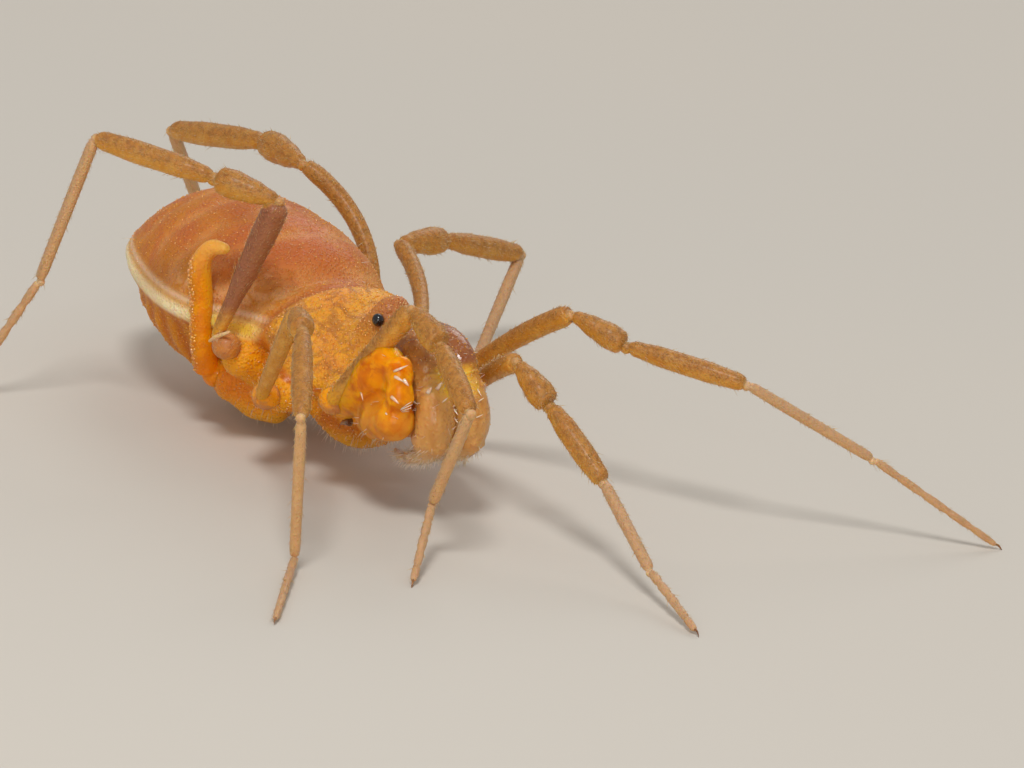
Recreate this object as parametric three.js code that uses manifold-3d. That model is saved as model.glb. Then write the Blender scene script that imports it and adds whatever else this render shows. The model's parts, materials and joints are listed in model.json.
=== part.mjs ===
// Small armoured harvestman, life size, standing still.
// Millimetres, +X towards the head, +Y to the animal's left, +Z up.
// The floor is z = 0 and the origin is under the middle of the whole animal.

import * as THREE from 'three';
import { mergeVertices } from 'three/addons/utils/BufferGeometryUtils.js';
import Module from 'manifold-3d';

const wasm = await Module();
wasm.setup();

const degrees = (value) => THREE.MathUtils.degToRad(value);

// Driving sizes of the body. Its own x = 0 lies under the top of the abdomen's dome.
const RIM_HEIGHT = 1.42;
const SHIELD_FRONT = 2.73;
const SHIELD_REAR = -2.6;
const SHIELD_HALF_WIDTH = 1.315;
const REAR_PROFILE = [2.39, 0.442];
const FRONT_PROFILE = [1.7, 0.5];
const WAIST = { x: 0.81, spread: 0.55, depth: 0.2 };
const RIM_LIP = 0.04;
const RIM_BAND = 0.05;
const ABDOMEN_DOME = { centre: -0.59, ahead: 1.52, behind: 1.74, height: 1.1 };
const CARAPACE_DOME = { centre: 1.5, ahead: 1.23, behind: 1.05, height: 0.62 };
const BELLY = { centre: 0, ahead: 1.6, behind: 1.73, height: 1.06 };
const MOUTH_FLOOR = { centre: 1.4, ahead: 1.33, behind: 1.4, height: 0.86 };
const DOME_BLEND = 6;
const FRONT_RIM_DROP = 0.32;
const RIM_SAG = { x: -0.47, spread: 1.33, depth: 0.134 };
const DOME_ROUNDNESS = 1.165;
const BELLY_ROUNDNESS = 0.94;
const SIDE_RECESS = { share: 0.27, from: -0.9, to: 0.4 };
const WAIST_CUT = 1.2;
const FRONT_START = 2;
const EYE_HILL = { x: 2.3, length: 0.33, width: 0.34, height: 0.62 };
const EYE = { x: 2.37, y: 0.255, z: 0.537, radius: 0.075 };

// Clearances between pieces that touch in life.
const GAP = 0.03;
const SMALLEST = 1e-6;
const SLIVER = 0.004;

// Legs: the place where each femur starts, for the left side, and each article's length.
const LEG_ROOTS = {
  1: [2.59, 0.91, -0.31],
  2: [1.73, 1.28, -0.51],
  3: [0.8, 1.33, -0.25],
  4: [0.11, 1.08, -0.74],
};
const COXA_STARTS = {
  1: [2.0, 0.12, -0.3],
  2: [1.4, 0.12, -0.42],
  3: [0.75, 0.12, -0.6],
  4: [0.54, 0.12, -0.92],
};
const ARTICLES = ['femur', 'patella', 'tibia', 'metatarsus', 'tarsus'];
const ARTICLE_LENGTHS = {
  1: [1.65, 0.64, 1.11, 1.27, 1.14],
  2: [1.91, 0.73, 1.45, 1.7, 1.76],
  3: [1.91, 0.8, 1.48, 1.88, 1.6],
  4: [2.57, 0.89, 1.7, 2.27, 1.48],
};
const ARTICLE_RADII = [0.25, 0.26, 0.25, 0.25, 0.22];
const JOINT_RADIUS = 0.13;
const COXA_RADII = { 1: 0.34, 2: 0.35, 3: 0.33, 4: 0.44 };
const TROCHANTER_RADIUS = 0.27;
const END_SLOPE = degrees(50);
const CLEAR_SLOPE = degrees(83);
const FOOT_HEIGHT = 0.13;

// The pose: yaw and pitch of each article in whole degrees, from femur to metatarsus,
// then the tarsus's yaw. The tarsus's pitch follows from the floor.
const LEG_POSES = {
  l1: [[-14, 30], [21, -35], [13, -33], [-1, -30], [-5]],
  l2: [[21, 39], [36, -18], [39, -6], [64, -27], [64]],
  l3: [[157, 14], [106, -6], [107, -16], [-49, -33], [160]],
  l4: [[176, 41], [180, 0], [-171, -12], [121, -52], [150]],
  r1: [[24, 55], [3, -22], [-11, -22], [-170, -70], [-40]],
  r2: [[-19, 49], [-25, 1], [-29, -22], [126, -82], [-37]],
  r3: [[48, 74], [-140, 9], [-143, 6], [-146, -74], [-126]],
};

// How far the middle of a femur bows out of its straight line.
const FEMUR_BOWS = { l3: [0, 0.14, 0], l4: [-0.05, 0.45, 0.12] };

// The right hind leg is a thick curved femur that ends in a blunt tip.
const CURVED_FEMUR = [
  [0.04, 0.05, 0],
  [0.15, -0.15, 0.42],
  [0.12, -0.2, 0.9],
  [0.12, -0.23, 1.3],
  [0.22, -0.17, 1.53],
  [0.39, -0.07, 1.57],
];
const CURVED_FEMUR_RADIUS = 0.25;
const CURVED_FEMUR_TIP = 0.12;
const CURVED_FEMUR_FLARE = 2;
const CURVED_FEMUR_TAPER = 0.8;

// Mouthparts as paths with a radius at each point; y counts outwards on either side.
const CHELICERA_BASE = {
  path: [[2.5, 0.24, 0.2], [2.85, 0.25, 0.4], [3.18, 0.25, 0.38], [3.46, 0.25, 0.16]],
  radii: [0.18, 0.24, 0.25, 0.19],
};
const CHELICERA_HAND = {
  path: [
    [3.53, 0.25, 0.09],
    [3.67, 0.25, -0.08],
    [3.69, 0.25, -0.34],
    [3.42, 0.24, -0.64],
    [3.05, 0.22, -0.8],
  ],
  radii: [0.17, 0.24, 0.25, 0.18, 0.1],
};

// The left pedipalp is folded lower and further back than the right one.
const PALPS = {
  l: {
    femur: {
      path: [[2.45, 0.56, -0.5], [2.75, 0.52, -0.38], [3.0, 0.48, -0.26], [3.16, 0.44, -0.26]],
      radii: [0.16, 0.24, 0.24, 0.17],
    },
    patella: {
      path: [[3.2, 0.43, -0.28], [3.31, 0.42, -0.38], [3.32, 0.42, -0.5]],
      radii: [0.16, 0.2, 0.17],
    },
    tibia: {
      path: [[3.31, 0.42, -0.54], [3.2, 0.44, -0.68], [2.9, 0.5, -0.76], [2.5, 0.54, -0.78]],
      radii: [0.16, 0.22, 0.22, 0.12],
    },
  },
  r: {
    femur: {
      path: [[2.45, 0.64, -0.42], [2.84, 0.66, -0.1], [3.14, 0.66, 0.2], [3.32, 0.65, 0.38]],
      radii: [0.18, 0.26, 0.26, 0.18],
    },
    patella: {
      path: [[3.36, 0.65, 0.42], [3.5, 0.64, 0.38], [3.58, 0.64, 0.22]],
      radii: [0.16, 0.22, 0.18],
    },
    tibia: {
      path: [[3.59, 0.64, 0.16], [3.6, 0.63, -0.1], [3.32, 0.62, -0.32], [2.78, 0.62, -0.45]],
      radii: [0.17, 0.23, 0.25, 0.12],
    },
  },
};

const SIDES = 8;
const STATIONS = 8;
const BODY_AROUND = 32;
const BODY_ALONG = 20;

const CURVED_STATIONS = 12;
const EYE_SIDES = 12;

const cuticle = (name, colour, roughness) =>
  new THREE.MeshStandardMaterial({ name, color: colour, roughness, metalness: 0 });

// Half-ellipse height at x, zero past its ends.
function domeHeight(x, dome) {
  const t = (x - dome.centre) / (x > dome.centre ? dome.ahead : dome.behind);
  return dome.height * Math.sqrt(Math.max(0, 1 - t * t));
}

function blendDomes(x, first, second) {
  const a = domeHeight(x, first) ** DOME_BLEND;
  const b = domeHeight(x, second) ** DOME_BLEND;
  return (a + b) ** (1 / DOME_BLEND);
}

// Half width of the dorsal shield: blunt behind, drawn out towards the head.
function shieldHalfWidth(x) {
  const end = x < 0 ? SHIELD_REAR : SHIELD_FRONT;
  const [fullness, bluntness] = x < 0 ? REAR_PROFILE : FRONT_PROFILE;
  const drawnIn = 1 - WAIST.depth * Math.exp(-(((x - WAIST.x) / WAIST.spread) ** 2));
  return SHIELD_HALF_WIDTH * drawnIn * Math.max(0, 1 - (x / end) ** fullness) ** bluntness;
}

// Height of the shield's edge: it sags along the abdomen and drops towards the head.
function rimLevel(x) {
  const sag = RIM_SAG.depth * Math.exp(-(((x - RIM_SAG.x) / RIM_SAG.spread) ** 2));
  return -FRONT_RIM_DROP * THREE.MathUtils.smoothstep(x, WAIST_CUT, FRONT_START) - sag;
}

// Point of the whole trunk's surface for a point of the unit sphere whose axis is +X.
function trunkPoint(axis, side, up, swell = 0) {
  const middle = (SHIELD_FRONT + SHIELD_REAR) / 2;
  const half = (SHIELD_FRONT - SHIELD_REAR) / 2;
  const x = middle + half * axis;
  const rim = rimLevel(x);
  const ring = Math.hypot(side, up);
  if (ring < SMALLEST) {
    return new THREE.Vector3(x + Math.sign(axis) * swell, 0, rim);
  }
  const across = side / ring;
  const height = up / ring;
  let halfWidth = shieldHalfWidth(x);
  let z = rim + blendDomes(x, ABDOMEN_DOME, CARAPACE_DOME) * Math.max(0, height) ** DOME_ROUNDNESS;
  if (Math.abs(height) < RIM_BAND) {
    halfWidth += RIM_LIP;
  } else if (height < 0) {
    const recess = THREE.MathUtils.smoothstep(x, SIDE_RECESS.from, SIDE_RECESS.to);
    halfWidth *= 1 - SIDE_RECESS.share * recess;
    z = rim - blendDomes(x, BELLY, MOUTH_FLOOR) * Math.abs(height) ** BELLY_ROUNDNESS;
  }
  const y = halfWidth * across;
  if (height > 0) {
    const away = ((x - EYE_HILL.x) / EYE_HILL.length) ** 2 + (y / EYE_HILL.width) ** 4;
    z += EYE_HILL.height * Math.exp(-away) * height;
  }
  const outward = new THREE.Vector3(axis, across, height).normalize();
  return new THREE.Vector3(x, y, z).addScaledVector(outward, swell);
}

// A unit sphere whose points are moved by a function of their place on it.
function shapedSphere(sides, stations, place) {
  const geometry = new THREE.SphereGeometry(1, sides, stations);
  const { position, uv } = geometry.attributes;
  for (let i = 0; i < position.count; i += 1) {
    const [x, y, z] = [position.getX(i), position.getY(i), position.getZ(i)];
    const point = place(y, z, x, uv.getY(i));
    position.setXYZ(i, point.x, point.y, point.z);
  }
  return closedGeometry(geometry);
}

function closedGeometry(geometry) {
  geometry.deleteAttribute('normal');
  geometry.deleteAttribute('uv');
  const merged = mergeVertices(geometry, 1e-4);
  const kept = [];
  const index = merged.index.array;
  for (let i = 0; i < index.length; i += 3) {
    const [a, b, c] = [index[i], index[i + 1], index[i + 2]];
    if (a !== b && b !== c && c !== a) {
      kept.push(a, b, c);
    }
  }
  merged.setIndex(kept);
  merged.computeVertexNormals();
  return merged;
}

// A closed limb along a curve, with flat ends; radiusAt takes the share of the length.
function limbGeometry(curve, radiusAt, sides = SIDES, stations = STATIONS) {
  const frames = curve.computeFrenetFrames(stations - 2, false);
  return shapedSphere(sides, stations, (axis, ringZ, ringX, v) => {
    const station = Math.round((1 - v) * stations);
    const step = THREE.MathUtils.clamp(station - 1, 0, stations - 2);
    const share = step / (stations - 2);
    const centre = curve.getPointAt(share);
    const ring = Math.hypot(ringZ, ringX);
    if (station === 0 || station === stations || ring < SMALLEST) {
      return centre;
    }
    const radius = radiusAt(share) / ring;
    return centre
      .addScaledVector(frames.normals[step], ringZ * radius)
      .addScaledVector(frames.binormals[step], -ringX * radius);
  });
}

function pathLimb({ path, radii }, side) {
  const points = path.map(([x, y, z]) => new THREE.Vector3(x, y * side, z));
  const curve = new THREE.CatmullRomCurve3(points);
  const radiusAt = (share) => {
    const place = share * (radii.length - 1);
    const low = Math.min(Math.floor(place), radii.length - 2);
    return THREE.MathUtils.lerp(radii[low], radii[low + 1], place - low);
  };
  return limbGeometry(curve, radiusAt);
}

function toSolid(geometry) {
  const vertProperties = new Float32Array(geometry.attributes.position.array);
  const triVerts = new Uint32Array(geometry.index.array);
  return new wasm.Manifold(new wasm.Mesh({ numProp: 3, vertProperties, triVerts }));
}

function toGeometry(solid) {
  const mesh = solid.getMesh();
  const geometry = new THREE.BufferGeometry();
  geometry.setAttribute('position', new THREE.BufferAttribute(mesh.vertProperties, 3));
  geometry.setIndex(new THREE.BufferAttribute(mesh.triVerts, 1));
  geometry.computeVertexNormals();
  return geometry;
}

function trunkSolid(swell) {
  const place = (axis, side, up) => trunkPoint(axis, side, up, swell);
  return toSolid(shapedSphere(BODY_AROUND, BODY_ALONG, place));
}

function boxSolid(low, high) {
  const size = high.map((value, i) => value - low[i]);
  const centre = high.map((value, i) => (value + low[i]) / 2);
  const box = new THREE.BoxGeometry(...size);
  box.translate(...centre);
  return toSolid(closedGeometry(box));
}

const animal = new THREE.Group();
animal.position.z = RIM_HEIGHT;

function addNode(name, geometry, material, parent = animal) {
  const mesh = new THREE.Mesh(geometry, material);
  mesh.name = name;
  parent.add(mesh);
  return mesh;
}

// Trunk: one closed skin, parted by a thin cut at the waist.
const trunk = trunkSolid(0);
const trunkClearance = trunkSolid(GAP);
const carapaceColour = cuticle('carapace', 0xc9762a, 0.55);
const abdomenColour = cuticle('abdomen', 0xd2713a, 0.5);
const frontHalf = boxSolid([WAIST_CUT + GAP / 2, -3, -3], [4, 3, 3]);
const rearHalf = boxSolid([-4, -3, -3], [WAIST_CUT - GAP / 2, 3, 3]);
addNode('prosoma', toGeometry(trunk.intersect(frontHalf)), carapaceColour);
addNode('abdomen', toGeometry(trunk.intersect(rearHalf)), abdomenColour);

// The largest piece of a shape outside the solids that it must clear.
function outside(geometry, obstacles) {
  const left = obstacles.reduce((shape, solid) => shape.subtract(solid), toSolid(geometry));
  const pieces = left.decompose().sort((a, b) => b.volume() - a.volume());
  return toGeometry(pieces[0].simplify(SLIVER));
}

const outsideTrunk = (geometry) => outside(geometry, [trunkClearance]);

// A piece's solid in the animal's frame, grown by the clearance.
function grownSolid(mesh) {
  const geometry = mesh.geometry.clone();
  const { position, normal } = geometry.attributes;
  for (let i = 0; i < position.count; i += 1) {
    const point = new THREE.Vector3().fromBufferAttribute(position, i);
    const outward = new THREE.Vector3().fromBufferAttribute(normal, i);
    point.add(mesh.position).addScaledVector(outward, GAP);
    position.setXYZ(i, point.x, point.y, point.z);
  }
  return toSolid(geometry);
}

// Eyes: beads let into the two flanks of the eye hill.
function addEyes() {
  const black = cuticle('eye', 0x0c0a0c, 0.08);
  for (const [letter, side] of [['l', 1], ['r', -1]]) {
    const bead = new THREE.SphereGeometry(EYE.radius, EYE_SIDES, EYE_SIDES / 2);
    bead.translate(EYE.x, EYE.y * side, EYE.z);
    addNode(`eye_${letter}`, outsideTrunk(closedGeometry(bead)), black);
  }
}

function addMouthparts() {
  const amber = cuticle('palp', 0xe08410, 0.3);
  const brown = cuticle('chelicera', 0xa8713a, 0.35);
  for (const [letter, side] of [['l', 1], ['r', -1]]) {
    const frontLeg = [`leg_${letter}1_coxa`, `leg_${letter}1_femur`];
    const taken = frontLeg.map((name) => grownSolid(animal.getObjectByName(name)));
    taken.push(trunkClearance);
    const pieces = [
      [`chelicera_${letter}_base`, CHELICERA_BASE, brown],
      [`chelicera_${letter}_hand`, CHELICERA_HAND, brown],
    ];
    for (const [article, shape] of Object.entries(PALPS[letter])) {
      pieces.push([`pedipalp_${letter}_${article}`, shape, amber]);
    }
    for (const [name, shape, material] of pieces) {
      const geometry = outside(pathLimb(shape, side), taken);
      taken.push(grownSolid(addNode(name, geometry, material)));
    }
  }
}

// How fast an article may widen from a joint that bends by the given angle.
const endSlope = (bend) => Math.tan(Math.min(END_SLOPE, CLEAR_SLOPE - bend / 2));

// Radius along an article: a slender spindle, cut back at its ends as its joints bend.
function articleRadius(length, radius, bends) {
  const slopes = bends.map(endSlope);
  return (share) => {
    const along = share * length;
    const fromStart = JOINT_RADIUS + along * slopes[0];
    const fromEnd = JOINT_RADIUS + (length - along) * slopes[1];
    return Math.min(radius, fromStart, fromEnd);
  };
}

const heading = ([yaw, pitch]) => new THREE.Vector3(
  Math.cos(degrees(pitch)) * Math.cos(degrees(yaw)),
  Math.cos(degrees(pitch)) * Math.sin(degrees(yaw)),
  Math.sin(degrees(pitch)),
);

// Distance from a joint at which an article's flat end clears its neighbour's.
const setBack = (bend) => JOINT_RADIUS * Math.tan(bend / 2) + GAP / 2;

// An article's middle line: straight, or bowed by a vector at its middle.
function middleLine(start, end, bow = new THREE.Vector3()) {
  const control = start.clone().lerp(end, 0.5).addScaledVector(bow, 2);
  return new THREE.QuadraticBezierCurve3(start.clone(), control, end.clone());
}

// Adds a limb that starts at the given place, cut where it would pass into the trunk.
function addOutsideTrunk(name, geometry, start, material) {
  const trunkThere = trunkClearance.translate(start.clone().negate().toArray());
  const mesh = addNode(name, outside(geometry, [trunkThere]), material);
  mesh.position.copy(start);
  return mesh;
}

function addArticle(name, line, radius, bends, material) {
  const length = line.getLength();
  const [near, far] = bends.map((bend) => setBack(bend) / length);
  const start = line.getPointAt(near);
  const end = line.getPointAt(1 - far);
  const middle = line.getPointAt(0.5).sub(start);
  const chord = end.sub(start);
  const bow = middle.addScaledVector(chord, -0.5);
  const inner = middleLine(new THREE.Vector3(), chord, bow);
  const radiusAt = articleRadius(inner.getLength(), radius, bends);
  return addOutsideTrunk(name, limbGeometry(inner, radiusAt), start, material);
}

// Flattens whatever of a foot would pass through the floor.
function standOnFloor(mesh) {
  const floor = -RIM_HEIGHT - mesh.position.z;
  const position = mesh.geometry.attributes.position;
  for (let i = 0; i < position.count; i += 1) {
    position.setZ(i, Math.max(position.getZ(i), floor));
  }
}

const legRoot = (pair, side) => {
  const [x, y, z] = LEG_ROOTS[pair];
  return new THREE.Vector3(x, y * side, z);
};

// Coxa and trochanter in one piece, from inside the trunk's outline to the femur.
function addCoxa(name, pair, side, femurDirection, material) {
  const [x, y, z] = COXA_STARTS[pair];
  const start = new THREE.Vector3(x, y * side, z);
  const root = legRoot(pair, side);
  const direction = root.clone().sub(start).normalize();
  const bend = direction.angleTo(femurDirection);
  const end = root.clone().addScaledVector(direction, -setBack(bend));
  const slope = endSlope(bend);
  const length = end.distanceTo(start);
  const radiusAt = (share) => {
    const left = (1 - share) * length;
    const body = THREE.MathUtils.lerp(COXA_RADII[pair], TROCHANTER_RADIUS, share);
    return Math.min(body, JOINT_RADIUS + left * slope);
  };
  const curve = new THREE.LineCurve3(start, end);
  const geometry = limbGeometry(curve, radiusAt);
  addNode(name, outsideTrunk(geometry), material);
  return bend;
}

function addWalkingLeg(leg, pose) {
  const side = leg[0] === 'l' ? 1 : -1;
  const pair = leg[1];
  const hue = cuticle(`leg_${leg}`, 0xb5752c, 0.6);
  const lengths = ARTICLE_LENGTHS[pair];
  const directions = pose.slice(0, 4).map(heading);
  const joints = [legRoot(pair, side)];
  directions.forEach((direction, i) => {
    joints.push(joints[i].clone().addScaledVector(direction, lengths[i]));
  });
  const drop = (FOOT_HEIGHT - RIM_HEIGHT - joints[4].z) / lengths[4];
  const tarsusPitch = THREE.MathUtils.radToDeg(Math.asin(THREE.MathUtils.clamp(drop, -1, 1)));
  directions.push(heading([pose[4][0], tarsusPitch]));
  joints.push(joints[4].clone().addScaledVector(directions[4], lengths[4]));
  const lines = directions.map((direction, i) => {
    const bow = i === 0 && FEMUR_BOWS[leg] ? new THREE.Vector3(...FEMUR_BOWS[leg]) : undefined;
    return middleLine(joints[i], joints[i + 1], bow);
  });
  const bends = [addCoxa(`leg_${leg}_coxa`, pair, side, lines[0].getTangentAt(0), hue)];
  for (let i = 1; i < lines.length; i += 1) {
    bends.push(lines[i - 1].getTangentAt(1).angleTo(lines[i].getTangentAt(0)));
  }
  bends.push(0);
  ARTICLES.forEach((article, i) => {
    const ends = [bends[i], bends[i + 1]];
    const mesh = addArticle(`leg_${leg}_${article}`, lines[i], ARTICLE_RADII[i], ends, hue);
    standOnFloor(mesh);
  });
}

// Right hind leg: its thick curved femur alone.
function addCurvedFemur() {
  const hue = cuticle('leg_r4', 0xe0851c, 0.4);
  const root = legRoot(4, -1);
  const points = CURVED_FEMUR.map(([x, y, z]) => new THREE.Vector3(x, y, z));
  const curve = new THREE.CatmullRomCurve3(points);
  const bend = addCoxa('leg_r4_coxa', 4, -1, curve.getTangentAt(0), hue);
  const radiusAt = (share) => {
    const fromStart = JOINT_RADIUS + share * CURVED_FEMUR_FLARE;
    const fromTip = CURVED_FEMUR_TIP + (1 - share) * CURVED_FEMUR_TAPER;
    return Math.min(CURVED_FEMUR_RADIUS, fromStart, fromTip);
  };
  const geometry = limbGeometry(curve, radiusAt, SIDES, CURVED_STATIONS);
  const start = root.clone().addScaledVector(curve.getTangentAt(0), setBack(bend));
  addOutsideTrunk('leg_r4_femur', geometry, start, hue);
}

Object.entries(LEG_POSES).forEach(([leg, pose]) => addWalkingLeg(leg, pose));
addCurvedFemur();
addEyes();
addMouthparts();

// The whole animal is set so that the origin is under the middle of its box.
const harvestman = new THREE.Group();
harvestman.add(animal);
harvestman.updateMatrixWorld(true);
const middle = new THREE.Box3().setFromObject(harvestman, true).getCenter(new THREE.Vector3());
animal.position.x -= middle.x;
animal.position.y -= middle.y;

export default harvestman;
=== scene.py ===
"""A small orange armoured harvestman, life size, standing still.

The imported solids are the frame. Every length below is in millimetres in the animal's own
frame, with +X towards the head, +Y to its left, +Z up and the shield's rim at z = 0.
PLACE moves a point from there to the part's frame, and MM turns it to metres.
"""

import json
import math
from itertools import product

import bpy
import numpy as np
from bpy.props import FloatProperty, FloatVectorProperty, IntProperty, PointerProperty
from mathutils import Matrix, Vector

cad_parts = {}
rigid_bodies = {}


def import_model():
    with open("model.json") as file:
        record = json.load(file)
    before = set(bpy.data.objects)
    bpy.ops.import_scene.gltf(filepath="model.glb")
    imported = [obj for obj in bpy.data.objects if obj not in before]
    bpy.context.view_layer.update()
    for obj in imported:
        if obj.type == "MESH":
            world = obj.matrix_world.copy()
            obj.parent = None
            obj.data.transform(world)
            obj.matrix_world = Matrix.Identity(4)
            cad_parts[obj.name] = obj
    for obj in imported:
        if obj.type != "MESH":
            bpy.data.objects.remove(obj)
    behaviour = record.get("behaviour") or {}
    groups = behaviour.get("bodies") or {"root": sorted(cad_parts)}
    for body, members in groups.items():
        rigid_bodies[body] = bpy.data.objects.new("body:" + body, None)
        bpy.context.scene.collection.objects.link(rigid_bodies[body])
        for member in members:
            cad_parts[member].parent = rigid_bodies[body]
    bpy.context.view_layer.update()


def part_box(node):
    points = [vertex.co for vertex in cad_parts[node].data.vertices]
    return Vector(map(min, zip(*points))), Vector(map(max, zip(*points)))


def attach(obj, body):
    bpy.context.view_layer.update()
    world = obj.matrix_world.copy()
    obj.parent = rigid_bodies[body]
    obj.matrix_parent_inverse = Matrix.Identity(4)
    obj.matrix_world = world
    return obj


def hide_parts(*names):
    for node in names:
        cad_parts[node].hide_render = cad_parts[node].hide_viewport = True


bl_info = {
    "name": "Armoured Harvestman",
    "version": (1, 0, 0),
    "blender": (4, 5, 0),
    "location": "View3D > Sidebar > Harvestman",
    "description": "Builds the skins, spines and down of a life-size armoured harvestman",
    "category": "Add Mesh",
}

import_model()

MM = 0.001
FLOOR_CLEARANCE = 0.003
FOOT_HEIGHT = 0.055
UP, NONE = (0, 0, 1), (0, 0, 0)

# Trunk. A dome is its middle, its reach ahead and behind, and its height.
RIM_HEIGHT = 1.42
SHIELD_FRONT = 2.73
SHIELD_REAR = -2.6
SHIELD_HALF_WIDTH = 1.315
REAR_PROFILE = (2.39, 0.442)  # fullness and bluntness of the outline's end
FRONT_PROFILE = (1.7, 0.5)
WAIST_X, WAIST_SPREAD, WAIST_DEPTH = 0.81, 0.55, 0.2
ABDOMEN_DOME = (-0.59, 1.52, 1.74, 1.1)
CARAPACE_DOME = (1.5, 1.23, 1.05, 0.62)
BELLY = (0.0, 1.6, 1.73, 1.06)
MOUTH_FLOOR = (1.4, 1.33, 1.4, 0.91)
DOME_BLEND = 6
FRONT_RIM_DROP = 0.32
RIM_SAG = (-0.47, 1.33, 0.134)  # middle, spread, depth
DOME_ROUNDNESS = 1.165
BELLY_ROUNDNESS = 0.94
SIDE_RECESS = (0.27, -0.9, 0.4)  # depth, and where it sets in
WAIST_CUT = 1.2
FRONT_START = 2.0
EYE_HILL = (2.3, 0.33, 0.34, 0.62)  # middle, length, width, height
EYE = (2.37, 0.255, 0.537)
EYE_RADIUS = 0.075
CAD_GAP = 0.03
BAND_GROOVES = (-1.9, -1.4, -0.9, -0.4, 0.15, 0.7)
RIDGE_LIFT = 0.17
LEG_SHADOW_MIDDLE = (-0.52, 0.38)  # the middle of a pair of painted shadows, one each side, for the right third leg's shadow on the back
BAND_BEND, FOLD_BEND = 0.28, 0.16
PLEAT_SPACING, PLEAT_DEPTH = 0.27, 0.022

# Legs.
LEG_ROOTS = {
    1: (2.59, 0.91, -0.31),
    2: (1.73, 1.28, -0.51),
    3: (0.8, 1.33, -0.25),
    4: (0.11, 1.08, -0.74),
}
COXA_STARTS = {
    1: (2.0, 0.12, -0.3),
    2: (1.4, 0.12, -0.42),
    3: (0.75, 0.12, -0.6),
    4: (0.7, 0.12, -0.88),
}
# A coxa's radius at its root and at its end.
COXA_RADII = {1: (0.3, 0.2), 2: (0.33, 0.22), 3: (0.33, 0.22), 4: (0.42, 0.24)}
ARTICLES = ("femur", "patella", "tibia", "metatarsus", "tarsus")
ARTICLE_LENGTHS = {
    1: (1.65, 0.64, 1.11, 1.27, 1.14),
    2: (1.91, 0.73, 1.45, 1.7, 1.76),
    3: (1.91, 0.8, 1.48, 1.88, 1.6),
    4: (2.57, 0.89, 1.7, 2.27, 1.48),
}
# The four upper articles' yaw and pitch, then the tarsus' yaw, in degrees.
LEG_POSES = {
    "l1": ((-14, 30), (21, -35), (13, -33), (-1, -30), -5),
    "l2": ((21, 39), (36, -18), (39, -6), (64, -27), 64),
    "l3": ((157, 14), (106, -6), (107, -16), (-49, -33), 160),
    "l4": ((176, 41), (180, 0), (-171, -12), (121, -52), 150),
    "r1": ((24, 55), (3, -22), (-11, -22), (-170, -70), -40),
    "r2": ((-19, 49), (-25, 1), (-29, -22), (126, -82), -37),
    "r3": ((48, 74), (-140, 9), (-143, 6), (-146, -74), -126),
}
FEMUR_BOWS = {"l1": (0, 0, 0.05), "l2": (0, 0, 0.09), "l3": (0, 0.14, 0), "l4": (-0.05, 0.45, 0.12)}
LEG_STOUTNESS = {1: 1.08, 2: 1.0, 3: 1.12, 4: 1.2}
SHORT_FEMUR = (
    (0.04, 0.05, 0), (0.15, -0.13, 0.42), (0.12, -0.17, 0.9),
    (0.12, -0.23, 1.3), (0.22, -0.17, 1.53), (0.41, -0.05, 1.57),
)
SHORT_FEMUR_TABLE = ((0, 0.15), (0.12, 0.135), (0.35, 0.125), (0.68, 0.13), (0.86, 0.1), (1, 0.06))
SHORT_FEMUR_BACK = (-0.56, -0.83, 0)
SHORT_GRANULE_ROWS = 34
SHORT_GRANULE_TURNS = (-0.9, -0.45, 0.0, 0.45, 0.9)

# United skins: how wide the creases are that fill up, the size of faces, smoothing rounds.
TRUNK_FILL, TRUNK_SMOOTHING = 0.07, 3
CHELICERA_FILL, CHELICERA_FINENESS, CHELICERA_SMOOTHING = 0.03, 0.014, 4
PALP_FILL, PALP_FILL_FINENESS, PALP_FINENESS, PALP_SMOOTHING = 0.07, 0.018, 0.016, 8

# Tufts: spacing and number where they aren't sizes of the panel, and each scatter's seed.
GRANULE_SPACING, SMALL_GRANULE_SPACING = 0.04, 0.035
QUICK_GRANULES, SMALL_GRANULES = 900, 420
QUICK_DOWN, TRUNK_HAIRS = 300, 300
LONG_HAIR_SHARE, LONG_HAIR_FACTOR = 0.04, 2.2
LONG_HAIR_RADIUS, DOWN_RADIUS, BODY_HAIR_RADIUS = 0.0042, 0.0028, 0.0035
SEEDS = {
    "granules": 7, "granule sizes": 8, "small granule sizes": 9, "spines": 11, "down": 21,
    "short leg": 31, "hairs": 41, "hairs of a piece": 50, "hairs of the trunk": 60,
    "small granules": 70, "down of a leg": 100,
}

# Tufts: the middles and widths of a granule's rings, in its radii, and its patch of the map.
GRANULE_RINGS = ((-0.5, 1.0), (0.45, 0.95), (0.95, 0.5))
GRANULE_TOP = 1.12
GRANULE_SIDES = 6
PATCH_SIZE = 0.003
PATCH_TURN = 2.4

# Camera: how it stands to the animal, in degrees, pixels and millimetres.
CAMERA_AZIMUTH = 34.0
CAMERA_ELEVATION = 18.0
CAMERA_LEAN = 6.5
CAMERA_DISTANCE = 100.0
PIXELS_PER_MM = 88.0
IMAGE = (1024.0, 768.0)
BODY_PIXEL = (285.0, 298.0)
SENSOR = 36.0

prosoma_low, prosoma_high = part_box("prosoma")
PLACE = np.array([
    prosoma_low.x / MM - WAIST_CUT - CAD_GAP / 2,
    (prosoma_low.y + prosoma_high.y) / 2 / MM,
    RIM_HEIGHT,
])


# Numbers


def smoothstep(value, low, high):
    share = np.clip((np.asarray(value, float) - low) / (high - low), 0, 1)
    return share * share * (3 - 2 * share)


def unit(vectors):
    vectors = np.asarray(vectors, float)
    return vectors / np.maximum(np.linalg.norm(vectors, axis=-1, keepdims=True), 1e-9)


def hump(value, middle, spread, power=2):
    """A bell of height 1 about the middle."""
    return np.exp(-(((value - middle) / spread) ** power))


def mirrored(points, sign):
    return np.asarray(points, float) * (1, sign, 1)


def side_of(name):
    """1 for a part of the left side and -1 for one of the right."""
    return 1 if name[0] == "l" else -1


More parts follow.
